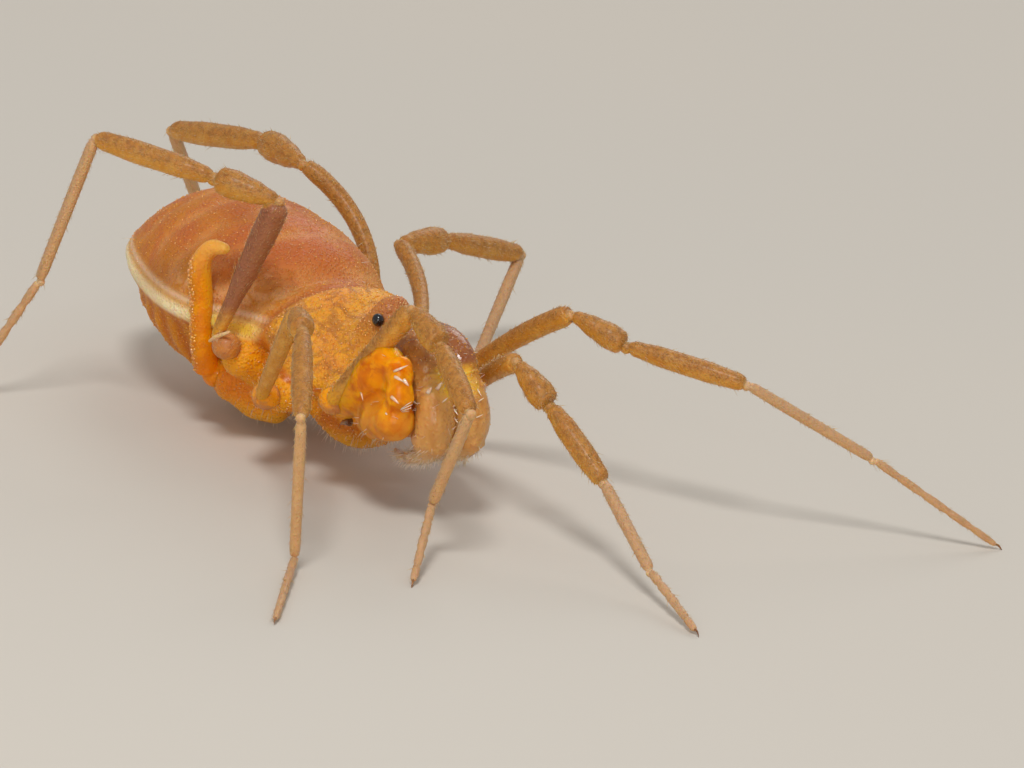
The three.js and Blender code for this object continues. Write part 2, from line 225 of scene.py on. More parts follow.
def distances(points, line):
    """From each point to each point of a line."""
    return np.linalg.norm(points[:, None] - line[None], axis=2)


def profile(share, table):
    """Smooth radius at a share of the length, from (share, radius) pairs."""
    shares, radii = np.array(table, float).T
    share = np.asarray(share, float)
    index = np.clip(np.searchsorted(shares, share) - 1, 0, len(shares) - 2)
    part = np.clip((share - shares[index]) / (shares[index + 1] - shares[index]), 0, 1)
    part = part * part * (3 - 2 * part)
    return radii[index] * (1 - part) + radii[index + 1] * part


def dome_height(x, dome):
    centre, ahead, behind, height = dome
    t = np.where(x > centre, (x - centre) / ahead, (x - centre) / behind)
    return height * np.sqrt(np.maximum(0, 1 - t * t))


def blend_domes(x, first, second):
    a, b = dome_height(x, first), dome_height(x, second)
    return (a ** DOME_BLEND + b ** DOME_BLEND) ** (1 / DOME_BLEND)


def shield_half_width(x):
    end = np.where(x < 0, SHIELD_REAR, SHIELD_FRONT)
    fullness = np.where(x < 0, REAR_PROFILE[0], FRONT_PROFILE[0])
    bluntness = np.where(x < 0, REAR_PROFILE[1], FRONT_PROFILE[1])
    drawn_in = 1 - WAIST_DEPTH * hump(x, WAIST_X, WAIST_SPREAD)
    left = np.maximum(0, 1 - np.abs(x / end) ** fullness)
    return SHIELD_HALF_WIDTH * drawn_in * left ** bluntness


def rim_level(x):
    middle, spread, depth = RIM_SAG
    sag = depth * hump(x, middle, spread)
    return -FRONT_RIM_DROP * smoothstep(x, WAIST_CUT, FRONT_START) - sag


def hill_distance(x, y):
    """How far a place is from the middle of the eye hill, in the hill's own lengths."""
    hill_x, length, width, _ = EYE_HILL
    return ((x - hill_x) / length) ** 2 + (y / width) ** 4


def trunk_points(axis, side, up, sizes):
    """The trunk's surface for points of the unit sphere whose axis is +X."""
    x = (SHIELD_FRONT + SHIELD_REAR) / 2 + (SHIELD_FRONT - SHIELD_REAR) / 2 * axis
    ring = np.maximum(np.hypot(side, up), 1e-9)
    across, height = side / ring, up / ring
    rim = rim_level(x)
    width = shield_half_width(x)
    above = np.maximum(height, 0)
    below = np.maximum(-height, 0)
    recess = SIDE_RECESS[0] * smoothstep(x, SIDE_RECESS[1], SIDE_RECESS[2])
    width = width * (1 - recess * smoothstep(below, 0.02, 0.3))
    z = rim + blend_domes(x, ABDOMEN_DOME, CARAPACE_DOME) * above ** DOME_ROUNDNESS
    z = z - blend_domes(x, BELLY, MOUTH_FLOOR) * below ** BELLY_ROUNDNESS
    y = width * across
    z = z + EYE_HILL[3] * np.exp(-hill_distance(x, y)) * above

    lift = z - rim
    top = smoothstep(lift, 0.2, 0.5)
    low = smoothstep(-lift, 0.1, 0.35)
    rear = 1 - smoothstep(x, 0.95, 1.3)
    swell = sizes.rim_bead / MM * hump(lift, 0, 0.075) * rear
    swell = swell + 0.5 * sizes.rim_bead / MM * hump(lift, RIDGE_LIFT, 0.03) * rear
    bend = BAND_BEND * across ** 2
    for groove in BAND_GROOVES:
        swell = swell - sizes.band_depth / MM * hump(x - groove + bend, 0, 0.08) * top
    fold = hump(x - WAIST_CUT + FOLD_BEND * across ** 2, 0, 0.07)
    swell = swell - sizes.waist_depth / MM * fold * smoothstep(lift, 0.05, 0.2)
    swell = swell + PLEAT_DEPTH * np.sin(x * 2 * math.pi / PLEAT_SPACING) * low * rear
    swell = swell - 0.03 * hump(lift, -0.16, 0.07) * rear
    fade = smoothstep(1 - np.abs(axis), 0, 0.06)
    y = y + across * swell * fade
    z = z + height * swell * fade
    return np.stack([x, y, z], axis=-1)


def bezier(start, end, bow, count=48):
    t = np.linspace(0, 1, count)[:, None]
    control = (start + end) / 2 + 2 * np.asarray(bow, float)
    return (1 - t) ** 2 * start + 2 * t * (1 - t) * control + t ** 2 * end


def smooth_path(points, count=64):
    """A Catmull-Rom curve through the points."""
    points = np.asarray(points, float)
    padded = np.vstack([2 * points[0] - points[1], points, 2 * points[-1] - points[-2]])
    rows = []
    spans = len(points) - 1
    for value in np.linspace(0, spans, count):
        i = min(int(value), spans - 1)
        t = value - i
        a, b, c, d = padded[i:i + 4]
        rows.append(0.5 * (2 * b + (c - a) * t + (2 * a - 5 * b + 4 * c - d) * t ** 2
                           + (3 * b - a - 3 * c + d) * t ** 3))
    return np.array(rows)


def arc_shares(line):
    steps = np.linalg.norm(np.diff(line, axis=0), axis=1)
    along = np.concatenate([[0], np.cumsum(steps)])
    return along / along[-1], along[-1]


def between(wanted, shares, rows):
    """Rows of three values at the wanted shares, from the rows at the known shares."""
    return np.stack([np.interp(wanted, shares, rows[:, i]) for i in range(3)], axis=-1)


def trimmed(line, near, far):
    """The line without the given lengths at its two ends."""
    shares, length = arc_shares(line)
    wanted = np.linspace(near / length, 1 - far / length, len(line))
    return between(wanted, shares, line)


def heading(yaw, pitch):
    yaw, pitch = math.radians(yaw), math.radians(pitch)
    flat = math.cos(pitch)
    return np.array([flat * math.cos(yaw), flat * math.sin(yaw), math.sin(pitch)])


def line_frames(line, up_hint):
    """Tangents, up vectors and side vectors along a line, carried without twist."""
    tangents = unit(np.gradient(line, axis=0))
    up = np.asarray(up_hint, float)
    ups = []
    for tangent in tangents:
        up = unit(up - tangent * (up @ tangent))
        ups.append(up)
    ups = np.array(ups)
    return tangents, ups, np.cross(tangents, ups)


# Meshes


def pick_only(obj):
    bpy.ops.object.select_all(action="DESELECT")
    obj.select_set(True)
    bpy.context.view_layer.objects.active = obj


def coordinates(obj):
    points = np.empty(len(obj.data.vertices) * 3)
    obj.data.vertices.foreach_get("co", points)
    return points.reshape(-1, 3)


def vertex_normals(obj):
    normals = np.empty(len(obj.data.vertices) * 3)
    obj.data.vertices.foreach_get("normal", normals)
    return normals.reshape(-1, 3)


def animal_points(obj):
    """An object's points in millimetres in the animal's frame."""
    return coordinates(obj) / MM - PLACE


def above_floor(points):
    """The points with whatever lies under the floor raised to it."""
    points = np.array(points, float)
    points[..., 2] = np.maximum(points[..., 2], FLOOR_CLEARANCE - RIM_HEIGHT)
    return points


def place_points(obj, points):
    obj.data.vertices.foreach_set("co", ((above_floor(points) + PLACE) * MM).ravel())
    obj.data.update()


def triangles(obj):
    mesh = obj.data
    mesh.calc_loop_triangles()
    corners = np.empty(len(mesh.loop_triangles) * 3, np.int32)
    mesh.loop_triangles.foreach_get("vertices", corners)
    return corners.reshape(-1, 3)


def face_outwards(obj):
    points = coordinates(obj)
    points = points - points.mean(axis=0)
    a, b, c = (points[triangles(obj)[:, i]] for i in range(3))
    if np.einsum("ij,ij->i", a, np.cross(b, c)).sum() < 0:
        obj.data.flip_normals()


def smooth_shading(obj):
    pick_only(obj)
    bpy.ops.object.shade_smooth()


def add_ball(name, around, along):
    """A unit ball whose axis is +X, with its points as axis, side and up values."""
    bpy.ops.object.select_all(action="DESELECT")
    bpy.ops.mesh.primitive_uv_sphere_add(segments=around, ring_count=along, radius=1)
    obj = bpy.context.active_object
    obj.name = obj.data.name = name
    points = coordinates(obj)
    return obj, points[:, 2], points[:, 0], points[:, 1]


def add_limb(name, line, table, up_hint, around=20, along=24, flatness=1.0, caps=(0.06, 0.06)):
    """A closed limb along a line, with rounded ends and a radius from a table of shares."""
    obj, axis, side, up = add_ball(name, around, along)
    share = (1 + axis) / 2
    shares, length = arc_shares(line)
    centre = between(share, shares, line)
    _, ups, sides = line_frames(line, up_hint)
    up_there = unit(between(share, shares, ups))
    side_there = unit(between(share, shares, sides))
    ring = np.maximum(np.hypot(side, up), 1e-9)
    radius = profile(share, table) if not callable(table) else table(share)
    for along_end, cap in ((share * length, caps[0]), ((1 - share) * length, caps[1])):
        part = np.clip(along_end / cap, 0, 1)
        radius = radius * np.sqrt(1 - (1 - part) ** 2)
    side_part = (side / ring * radius)[:, None] * side_there
    up_part = (up / ring * radius * flatness)[:, None] * up_there
    place_points(obj, centre + side_part + up_part)
    face_outwards(obj)
    return obj


def add_globe(name, centre, radii, around=20, along=14):
    obj, axis, side, up = add_ball(name, around, along)
    place_points(obj, np.asarray(centre) + np.stack([axis, side, up], axis=-1) * radii)
    face_outwards(obj)
    return obj


def apply_modifier(obj, kind, **settings):
    pick_only(obj)
    modifier = obj.modifiers.new(kind.lower(), kind)
    for name, value in settings.items():
        setattr(modifier, name, value)
    bpy.ops.object.modifier_apply(modifier=modifier.name)


def settle_order(obj):
    """Rebuilds a mesh with points and faces in an order that depends on their places alone."""
    places = [tuple(point.co) for point in obj.data.vertices]
    order = sorted(range(len(places)), key=places.__getitem__)
    rank = {old: new for new, old in enumerate(order)}
    faces = []
    for polygon in obj.data.polygons:
        face = [rank[corner] for corner in polygon.vertices]
        first = face.index(min(face))
        faces.append(face[first:] + face[:first])
    obj.data.clear_geometry()
    obj.data.from_pydata([places[old] for old in order], [], sorted(faces))
    obj.data.update()


def unite(base, others):
    """One closed skin over the base and the others."""
    for other in others:
        apply_modifier(base, "BOOLEAN", operation="UNION", solver="MANIFOLD", object=other)
        bpy.data.objects.remove(other)
    if not base.data.polygons:
        raise RuntimeError(f"{base.name} lost its faces in a union")
    settle_order(base)
    return base


def soften(obj, voxel, rounds, factor=0.6):
    """Gives a united skin even faces and rounds its creases."""
    apply_modifier(obj, "REMESH", mode="VOXEL", voxel_size=voxel * MM)
    apply_modifier(obj, "SMOOTH", factor=factor, iterations=rounds)
    face_outwards(obj)


def fill_creases(obj, reach, voxel):
    """Swells a skin, unites it and draws it back, so that narrow creases fill up."""
    apply_modifier(obj, "DISPLACE", strength=reach * MM, mid_level=0)
    apply_modifier(obj, "REMESH", mode="VOXEL", voxel_size=voxel * MM)
    apply_modifier(obj, "DISPLACE", strength=-reach * MM, mid_level=0)


def join_pieces(name, pieces):
    bpy.ops.object.select_all(action="DESELECT")
    for piece in pieces:
        piece.select_set(True)
    bpy.context.view_layer.objects.active = pieces[0]
    if len(pieces) > 1:
        bpy.ops.object.join()
    pieces[0].name = pieces[0].data.name = name
    return pieces[0]


def store(obj, **masks):
    """Keeps masks on the mesh for the materials."""
    for name, values in masks.items():
        attribute = obj.data.attributes.new(name, "FLOAT", "POINT")
        attribute.data.foreach_set("value", np.clip(values, 0, 1).astype(np.float32))


def finish_piece(obj, kind, slot, *nodes):
    """Gives a piece its material and body, and hides the nodes that it replaces. The slot is not
    used.
    """
    obj.data.materials.clear()
    obj.data.materials.append(material_for(kind))
    smooth_shading(obj)
    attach(obj, "root")
    if nodes:
        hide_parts(*nodes)


def scatter(obj, count, seed, weights=None):
    """Points spread over a mesh by area and weight: places and normals, in millimetres."""
    rng = np.random.default_rng(seed)
    points, normals, corners = animal_points(obj), vertex_normals(obj), triangles(obj)
    a, b, c = (points[corners[:, i]] for i in range(3))
    share = np.linalg.norm(np.cross(b - a, c - a), axis=1)
    if weights is not None:
        share = share * weights[corners].mean(axis=1)
    chosen = rng.choice(len(corners), count, p=share / share.sum())
    u, v = rng.random(count), rng.random(count)
    over = u + v > 1
    u[over], v[over] = 1 - u[over], 1 - v[over]
    mix = np.stack([1 - u - v, u, v], axis=-1)[:, :, None]
    places = (points[corners[chosen]] * mix).sum(axis=1)
    directions = unit((normals[corners[chosen]] * mix).sum(axis=1))
    return places, directions


def spaced(points, spacing):
    """Indices of points kept so that no two are closer than the spacing."""
    taken = {}
    kept = []
    cells = np.floor(points / spacing).astype(int)
    for index, cell in enumerate(map(tuple, cells)):
        close = [
            other
            for step in product((-1, 0, 1), repeat=3)
            for other in taken.get(tuple(map(sum, zip(cell, step))), ())
            if np.sum((points[other] - points[index]) ** 2) < spacing ** 2
        ]
        if not close:
            taken.setdefault(cell, []).append(index)
            kept.append(index)
    return np.array(kept, int)


def mesh_from(name, points, faces, bake_places):
    """A mesh object from arrays, with a patch of the OFBake map for each tuft."""
    mesh = bpy.data.meshes.new(name)
    faces = np.asarray(faces, np.int32)
    mesh.vertices.add(len(points))
    mesh.loops.add(faces.size)
    mesh.polygons.add(len(faces))
    mesh.vertices.foreach_set("co", ((above_floor(points) + PLACE) * MM).ravel())
    mesh.loops.foreach_set("vertex_index", faces.ravel())
    mesh.polygons.foreach_set("loop_start", np.arange(len(faces), dtype=np.int32) * faces.shape[1])
    mesh.update(calc_edges=True)
    layer = mesh.uv_layers.new(name="OFBake")
    layer.data.foreach_set("uv", bake_places[faces.ravel()].ravel().astype(np.float32))
    obj = bpy.data.objects.new(name, mesh)
    bpy.context.scene.collection.objects.link(obj)
    return obj


def tufts(name, roots, directions, rings, tips, unwrap, sides):
    """Many closed spikes in one mesh, from the middles and widths of their rings."""
    helper = np.where(np.abs(directions[:, 2:3]) < 0.9, [[0.0, 0.0, 1.0]], [[1.0, 0.0, 0.0]])
    first = unit(np.cross(directions, helper))
    second = np.cross(directions, first)
    angles = np.arange(sides)[None, :, None] * 2 * math.pi / sides
    spokes = first[:, None] * np.cos(angles) + second[:, None] * np.sin(angles)
    layers = [middles[:, None] + spokes * widths[:, None, None] for middles, widths in rings]
    points = np.concatenate([*layers, tips[:, None]], axis=1)
    per = points.shape[1]
    last = per - 1 - sides
    pattern = [(0, k + 1, k) for k in range(1, sides - 1)]
    for ring in range(0, last, sides):
        for k in range(sides):
            a, b = ring + k, ring + (k + 1) % sides
            pattern += [(a, b, b + sides), (a, b + sides, a + sides)]
    pattern += [(last + k, last + (k + 1) % sides, per - 1) for k in range(sides)]
    faces = (np.array(pattern)[None] + (np.arange(len(roots)) * per)[:, None, None]).reshape(-1, 3)
    turns = np.arange(per) * PATCH_TURN
    patch = PATCH_SIZE * (np.stack([np.cos(turns), np.sin(turns)], axis=-1) * 0.5)
    bake = (np.clip(unwrap, 0.004, 0.996)[:, None] + patch[None]).reshape(-1, 2)
    return mesh_from(name, points.reshape(-1, 3), faces, bake)


def thorns(name, roots, directions, lengths, radii, bends, unwrap, sides=3, ring_count=2):
    """Spikes that each lean by their bend towards their tip."""
    directions = unit(directions)
    rings = []
    for share in np.arange(ring_count) / ring_count:
        lean = bends * (lengths * share ** 2)[:, None]
        middles = roots + directions * (lengths * share)[:, None] + lean
        rings.append((middles, radii * (1 - share) ** 0.6))
    tips = roots + directions * lengths[:, None] + bends * lengths[:, None]
    return tufts(name, roots, directions, rings, tips, unwrap, sides)


def granules(name, roots, normals, radii, unwrap):
    """Many small closed domes in one mesh."""
    directions = unit(normals)
    rings = [
        (roots + directions * (radii * rise)[:, None], radii * width)
        for rise, width in GRANULE_RINGS
    ]
    tips = roots + directions * (radii * GRANULE_TOP)[:, None]
    return tufts(name, roots, directions, rings, tips, unwrap, GRANULE_SIDES)


def trunk_unwrap(points):
    """Place on the trunk's own unwrap: round it and along it."""
    around = np.arctan2(points[:, 1], points[:, 2] - rim_level(points[:, 0])) / (2 * math.pi) + 0.5
    along = (points[:, 0] - SHIELD_REAR) / (SHIELD_FRONT - SHIELD_REAR)
    return np.stack([around, along], axis=-1)


def head_unwrap(points):
    """Place on the mouthparts' map, seen from above."""
    return np.stack([(points[:, 1] + 1) / 2, (points[:, 0] - 2.2) / 1.7], axis=-1)


# Materials


def node(tree, kind, settings=(), sources=()):
    """A new node with its inputs' values and options set, and inputs linked to sockets."""
    made = tree.nodes.new(kind)
    for name, value in dict(settings).items():
        if name in made.inputs:
            made.inputs[name].default_value = value
        else:
            setattr(made, name, value)
    for name, socket in dict(sources).items():
        tree.links.new(socket, made.inputs[name])
    return made


def plug(tree, value, socket):
    """Links an input to another node's output, or gives it a plain value."""
    if isinstance(value, bpy.types.NodeSocket):
        tree.links.new(value, socket)
    else:
        socket.default_value = value


def object_place(tree):
    return tree.nodes.new("ShaderNodeTexCoord").outputs["Object"]


def build_mottle(tree, given):
    """Broken blotches over a surface: a mask from noise in object space."""
    noise = node(
        tree, "ShaderNodeTexNoise", {"Detail": 3.0, "Roughness": 0.6, "Distortion": 0.6},
        {"Vector": object_place(tree), "Scale": given["Size"]})
    spread = node(
        tree, "ShaderNodeMapRange", {"interpolation_type": "SMOOTHSTEP"},
        {"Value": noise.outputs[0], "From Min": given["Low"], "From Max": given["High"]})
    return {"Mask": spread.outputs["Result"]}


def build_grain(tree, given):
    """Fine granules of the cuticle: a height and a mask of their tops."""
    cells = node(
        tree, "ShaderNodeTexVoronoi", {"feature": "SMOOTH_F1", "Smoothness": 0.35},
        {"Vector": object_place(tree), "Scale": given["Size"]})
    away = {"Value": cells.outputs["Distance"]}
    height = node(
        tree, "ShaderNodeMapRange",
        {"interpolation_type": "SMOOTHSTEP", "From Min": 0.62, "From Max": 0.08}, away)
    tops = node(tree, "ShaderNodeMapRange", {"From Min": 0.28, "From Max": 0.08}, away)
    return {"Height": height.outputs["Result"], "Tops": tops.outputs["Result"]}


GROUPS = {
    "mottle": (("Size", "Low", "High"), ("Mask",), build_mottle),
    "grain": (("Size",), ("Height", "Tops"), build_grain),
}


def grouped(tree, kind, *values):
    """A shared node group, made when it is first asked for, with its inputs' values set."""
    inputs, outputs, build = GROUPS[kind]
    name = f"harvestman {kind}"
    if name not in bpy.data.node_groups:
        inner = bpy.data.node_groups.new(name, "ShaderNodeTree")
        for way, sockets in (("INPUT", inputs), ("OUTPUT", outputs)):
            for socket in sockets:
                inner.interface.new_socket(socket, in_out=way, socket_type="NodeSocketFloat")
        start = inner.nodes.new("NodeGroupInput")
        node(inner, "NodeGroupOutput", (), build(inner, start.outputs))
    group = tree.nodes.new("ShaderNodeGroup")
    group.node_tree = bpy.data.node_groups[name]
    for socket, value in zip(inputs, values):
        group.inputs[socket].default_value = value
    return group.outputs


def mottle(tree, size, low, high):
    return grouped(tree, "mottle", size / MM, low, high)["Mask"]


def streaks(tree):
    """Streaks along the chelicerae, from noise that is drawn out upwards."""
    mapping = node(
        tree, "ShaderNodeMapping", {"Scale": (5 / MM, 5 / MM, 1.2 / MM)},
        {"Vector": object_place(tree)})
    noise = node(
        tree, "ShaderNodeTexNoise", {"Scale": 1.0, "Detail": 3.0},
        {"Vector": mapping.outputs["Vector"]})
    spread = node(
        tree, "ShaderNodeMapRange", {"From Min": 0.35, "From Max": 0.65},
        {"Value": noise.outputs[0]})
    return spread.outputs["Result"]


def cover(tree, sockets, share, mask, blotches=None):
    """How far a layer hides what is under it: its share times its mask times its blotches."""
    factors = []
    if mask in sockets:
        factors.append(sockets[mask])
    elif mask:
        factors.append(node(tree, "ShaderNodeAttribute", {"attribute_name": mask}).outputs["Fac"])
    if blotches:
        factors.append(mottle(tree, *blotches))
    if share != 1:
        factors.append(share)
    value = factors[0]
    for factor in factors[1:]:
        maths = node(tree, "ShaderNodeMath", {"operation": "MULTIPLY"})
        plug(tree, value, maths.inputs[0])
        plug(tree, factor, maths.inputs[1])
        value = maths.outputs[0]
    return value


def painted(tree, sockets, look):
    """The colour of a look: two mottled ground colours, then its layers from below to the top."""
    colours = bpy.context.scene.harvestman_colours
    colour, *first = look["ground"]
    for over, *covering in (first, *look.get("layers", ())):
        mixer = node(tree, "ShaderNodeMix", {"data_type": "RGBA"})
        tree.links.new(cover(tree, sockets, *covering), mixer.inputs[0])
        for value, socket in ((colour, mixer.inputs[6]), (over, mixer.inputs[7])):
            if isinstance(value, dict):
                value = painted(tree, sockets, value)
            if isinstance(value, str):
                value = getattr(colours, value)
            if not isinstance(value, bpy.types.NodeSocket):
                value = (*value, 1.0)
            plug(tree, value, socket)
        colour = mixer.outputs[2]
    return colour


def blank_material(name, settings):
    """A material with nothing but a shader with the settings."""
    material = bpy.data.materials.new(name)
    material.use_nodes = True
    tree = material.node_tree
    tree.nodes.clear()
    shader = node(tree, "ShaderNodeBsdfPrincipled", settings)
    node(tree, "ShaderNodeOutputMaterial", (), {"Surface": shader.outputs["BSDF"]})
    return material, tree, shader


def new_material(kind):
    """The material of a kind of cuticle, from its row in LOOKS."""
    look = LOOKS[kind]
    roughness, subsurface, depth, coat, coat_roughness, specular = look["finish"]
    material, tree, shader = blank_material(look["name"], {
        "Roughness": roughness,
        "IOR": 1.48,
        "Specular IOR Level": specular,
        "Subsurface Weight": subsurface,
        "Subsurface Radius": (1.0, 0.42, 0.12),
        "Subsurface Scale": depth * MM,
        "Coat Weight": coat,
        "Coat Roughness": coat_roughness,
    })
    sockets = {}
    if "grain" in look:
        size, strength, distance = look["grain"]
        grain = grouped(tree, "grain", size / MM)
        sockets["tops"] = grain["Tops"]
        bump = node(
            tree, "ShaderNodeBump", {"Strength": strength, "Distance": distance * MM},
            {"Height": grain["Height"]})
        tree.links.new(bump.outputs["Normal"], shader.inputs["Normal"])
    if "streaked" in look:
        sockets["streaks"] = streaks(tree)
    if "roughness_of_tops" in look:
        low, high = look["roughness_of_tops"]
        rough = node(
            tree, "ShaderNodeMapRange", {"To Min": low, "To Max": high}, {"Value": sockets["tops"]})
        tree.links.new(rough.outputs["Result"], shader.inputs["Roughness"])
    tree.links.new(painted(tree, sockets, look), shader.inputs["Base Color"])
    return material


def material_for(kind):
    """The material that pieces of one kind share."""
    if kind not in MATERIALS:
        MATERIALS[kind] = new_material(kind)
    return MATERIALS[kind]


MATERIALS = {}

# How each kind of cuticle looks. finish: roughness, subsurface and its depth, coat, the coat's
# roughness, specular. grain: cells to a millimetre, strength and depth of the bump. ground: two
# colours and how far the second covers the first. layers: a colour and how far it covers what
# is under it. A cover is a share, a mask of the mesh, and blotches: size, low and high.
PLAIN_BLOTCHES = (8.0, 0.3, 0.7)
LOOKS = {
    "trunk": {
        "name": "trunk cuticle",
        "finish": (0.42, 0.55, 0.4, 0.1, 0.14, 0.3),
        "grain": (27.0, 0.9, 0.016),
        "roughness_of_tops": (0.5, 0.16),
        "ground": ("back_salmon", "back_orange", 1, None, (1.3, 0.36, 0.64)),
        "layers": (
            ("back_deep", 0.25, None, (6.0, 0.45, 0.75)),
            ("back_gold", 0.8, "low", (2.0, 0.35, 0.6)),
            ("groove", 0.6, "groove", (2.5, 0.3, 0.6)),
            # Painted shadow: a dark patch where the right third leg's shadow falls on the back,
            # mirrored to the left.
            ("back_deep", 0.75, "saddle"),
            # Painted sheen: a pinkish bloom of light above the rim, on the near side only.
            ("back_blush", 0.8, "blush", (5.0, 0.4, 0.6)),
            ("gutter", 1, "gutter"),
            ("carapace", 0.9, "carapace"),
            ("carapace_gold", 0.5, "carapace", (2.2, 0.42, 0.58)),
            ("carapace_gold", 1, "gold"),
            ("mottling", 0.5, "carapace", (3.4, 0.49, 0.62)),
            ("mottling", 0.36, "carapace", (9.0, 0.5, 0.62)),
            ("back_blush", 0.35, "carapace", (7.0, 0.54, 0.68)),
            ("hill", 0.8, "hill"),
            ("back_deep", 0.45, "fold"),
            ("flank", 1, "flank"),
            # Painted highlight: paler stripes on the crests of the side pleats, in step with their
            # bulges.
            ("flank_light", 0.8, "pleat"),
            ("coxa", 1, "coxa"),
            ("belly", 1, "belly"),
            ("coxa_red", 0.9, "hind"),
            ("rim", 1, "rim"),
            ("rim_front", 1, "rim_front"),
            # Partly pale granules, partly a painted highlight line along the ridge's crest.
            ("ridge", 0.75, "ridge"),
            # Paler granule tops, partly painted glints where the grain would catch the light.
            ("speck", 0.14, "tops"),
        ),
    },
    "granule": {
        "name": "granule cuticle",
        "finish": (0.14, 0.3, 0.08, 0.7, 0.06, 0.6),
        "ground": ("carapace", "granule", 1, None, (3.0, 0.4, 0.6)),
    },
    "leg": {
        "name": "leg cuticle",
        "finish": (0.42, 0.45, 0.12, 0.1, 0.22, 0.25),
        "grain": (34.0, 0.7, 0.008),
        "ground": ("leg_gold", "leg_amber", 1, None, (7.0, 0.34, 0.66)),
        "layers": (
            ("leg_brown", 0.62, "dorsal"),
            # Painted shade: the right third femur, on the near side, darkened to purple-brown for
            # the shadow it lies in.
            ("leg_rust", 0.84, "rusty"),
            ("leg_dark", 0.4, "dorsal", (16.0, 0.4, 0.66)),
            ("leg_pale", 0.6, "tip"),
            ("leg_root", 0.7, "root"),
            ({
                "ground": ("coxa", "trochanter", 1, None, (3.0, 0.4, 0.6)),
                # Paler granule tops on the trochanters, partly painted glints.
                "layers": (("speck", 0.2, "tops"),),
            }, 1, "ball"),
            ("dusky", 0.55, "dusky"),
            ("membrane", 0.8, "pale"),
        ),
    },
    "short": {
        "name": "short leg cuticle",
        "finish": (0.34, 0.7, 0.25, 0.15, 0.15, 0.15),
        "grain": (26.0, 0.6, 0.011),
        "ground": ("short_leg", "palp", 1, None, (4.0, 0.35, 0.65)),
        "layers": (
            ("coxa_red", 0.4, None, (9.0, 0.5, 0.66)),
            ("short_inner", 1, "inner"),
            ("short_tip", 1, "tip"),
            ("coxa_red", 1, "base"),
            # Paler granule tops, partly painted glints.
            ("speck", 0.12, "tops"),
        ),
    },
    "palp": {
        "name": "palp cuticle",
        "finish": (0.3, 0.85, 0.3, 0.3, 0.05, 0.04),
        "grain": (6.0, 0.8, 0.035),
        "ground": ("palp", "palp_deep", 0.8, None, (4.5, 0.38, 0.62)),
        "layers": (
            ("palp_gold", 0.7, None, (6.0, 0.48, 0.64)),
            ("palp_dull", 1, "end"),
            ("palp_deep", 0.55, None, (9.0, 0.52, 0.68)),
            ("palp_gold", 1, "pale"),
        ),
    },
    "chelicera": {
        "name": "chelicera cuticle",
        "finish": (0.28, 0.6, 0.2, 0.4, 0.06, 0.25),
        "grain": (20.0, 0.7, 0.012),
        "streaked": True,
        "ground": ("chelicera_pale", "chelicera", 1, "streaks"),
        "layers": (
            ({"ground": ("bulla", "chelicera_dark", 0.6, None, (4.0, 0.4, 0.62))}, 1, "bulla"),
            ("chelicera_dark", 0.85, "top"),
            ("collar", 1, "pale"),
            ("finger", 0.8, "finger"),
            # Paler granule tops, partly painted glints.
            ("speck", 0.12, "tops"),
        ),
    },
    "eye": {
        "name": "eye bead",
        "finish": (0.06, 0.0, 0.05, 1.0, 0.03, 0.3),
        "ground": ((0.004, 0.003, 0.005), (0.012, 0.008, 0.01), 1, None, (12.0, 0.3, 0.7)),
    },
    "claw": {
        "name": "claw horn",
        "finish": (0.25, 0.1, 0.05, 0.5, 0.1, 0.3),
        "ground": ("leg_dark", "leg_brown", 1, None, PLAIN_BLOTCHES),
    },
    "spine": {
        "name": "spine",
        "finish": (0.15, 0.4, 0.05, 0.8, 0.1, 0.3),
        "ground": ("spine", "speck", 1, None, PLAIN_BLOTCHES),
    },
    "down": {
        "name": "down",
        "finish": (0.35, 0.3, 0.05, 0.2, 0.1, 0.3),
        "ground": ("down", "leg_gold", 1, None, PLAIN_BLOTCHES),
    },
    "pale hair": {
        "name": "pale hair",
        "finish": (0.3, 0.3, 0.05, 0.3, 0.1, 0.3),
        "ground": ("spine", "down", 1, None, PLAIN_BLOTCHES),
    },
}


def floor_material():
    material, tree, shader = blank_material("floor", {"Roughness": 0.9})
    look = {"ground": ("floor", "floor_warm", 1, None, (0.02, 0.3, 0.7))}
    tree.links.new(painted(tree, {}, look), shader.inputs["Base Color"])
    return material


# Trunk


def coxa_line(pair, side):
    start, root = mirrored(COXA_STARTS[pair], side), mirrored(LEG_ROOTS[pair], side)
    direction = unit(root - start)
    return np.linspace(start, root - direction * 0.14, 24)


def make_trunk(context):
    sizes = context.scene.harvestman_sizes
    skin, axis, side, up = add_ball("trunk_skin", 220, 200)
    place_points(skin, trunk_points(axis, side, up, sizes) * (1, 0.99, 0.99))
    face_outwards(skin)
    coxae = []
    for sign in (1, -1):
        for pair, (thick, thin) in COXA_RADII.items():
            line = coxa_line(pair, sign)
            table = ((0, thick), (0.45, thick), (0.85, thin * 1.12), (1, thin))
            coxae.append(add_limb(f"coxa_{pair}", line, table, UP, 32, 28, caps=(0.2, 0.16)))
    unite(skin, coxae)
    voxel = sizes.skin_fineness / MM
    fill_creases(skin, TRUNK_FILL, voxel)
    soften(skin, voxel, TRUNK_SMOOTHING)
    paint_trunk(skin)
    coxa_nodes = [f"leg_{s}{pair}_coxa" for s in "lr" for pair in (1, 2, 3, 4)]
    finish_piece(skin, "trunk", "abdomen", "prosoma", "abdomen", *coxa_nodes)


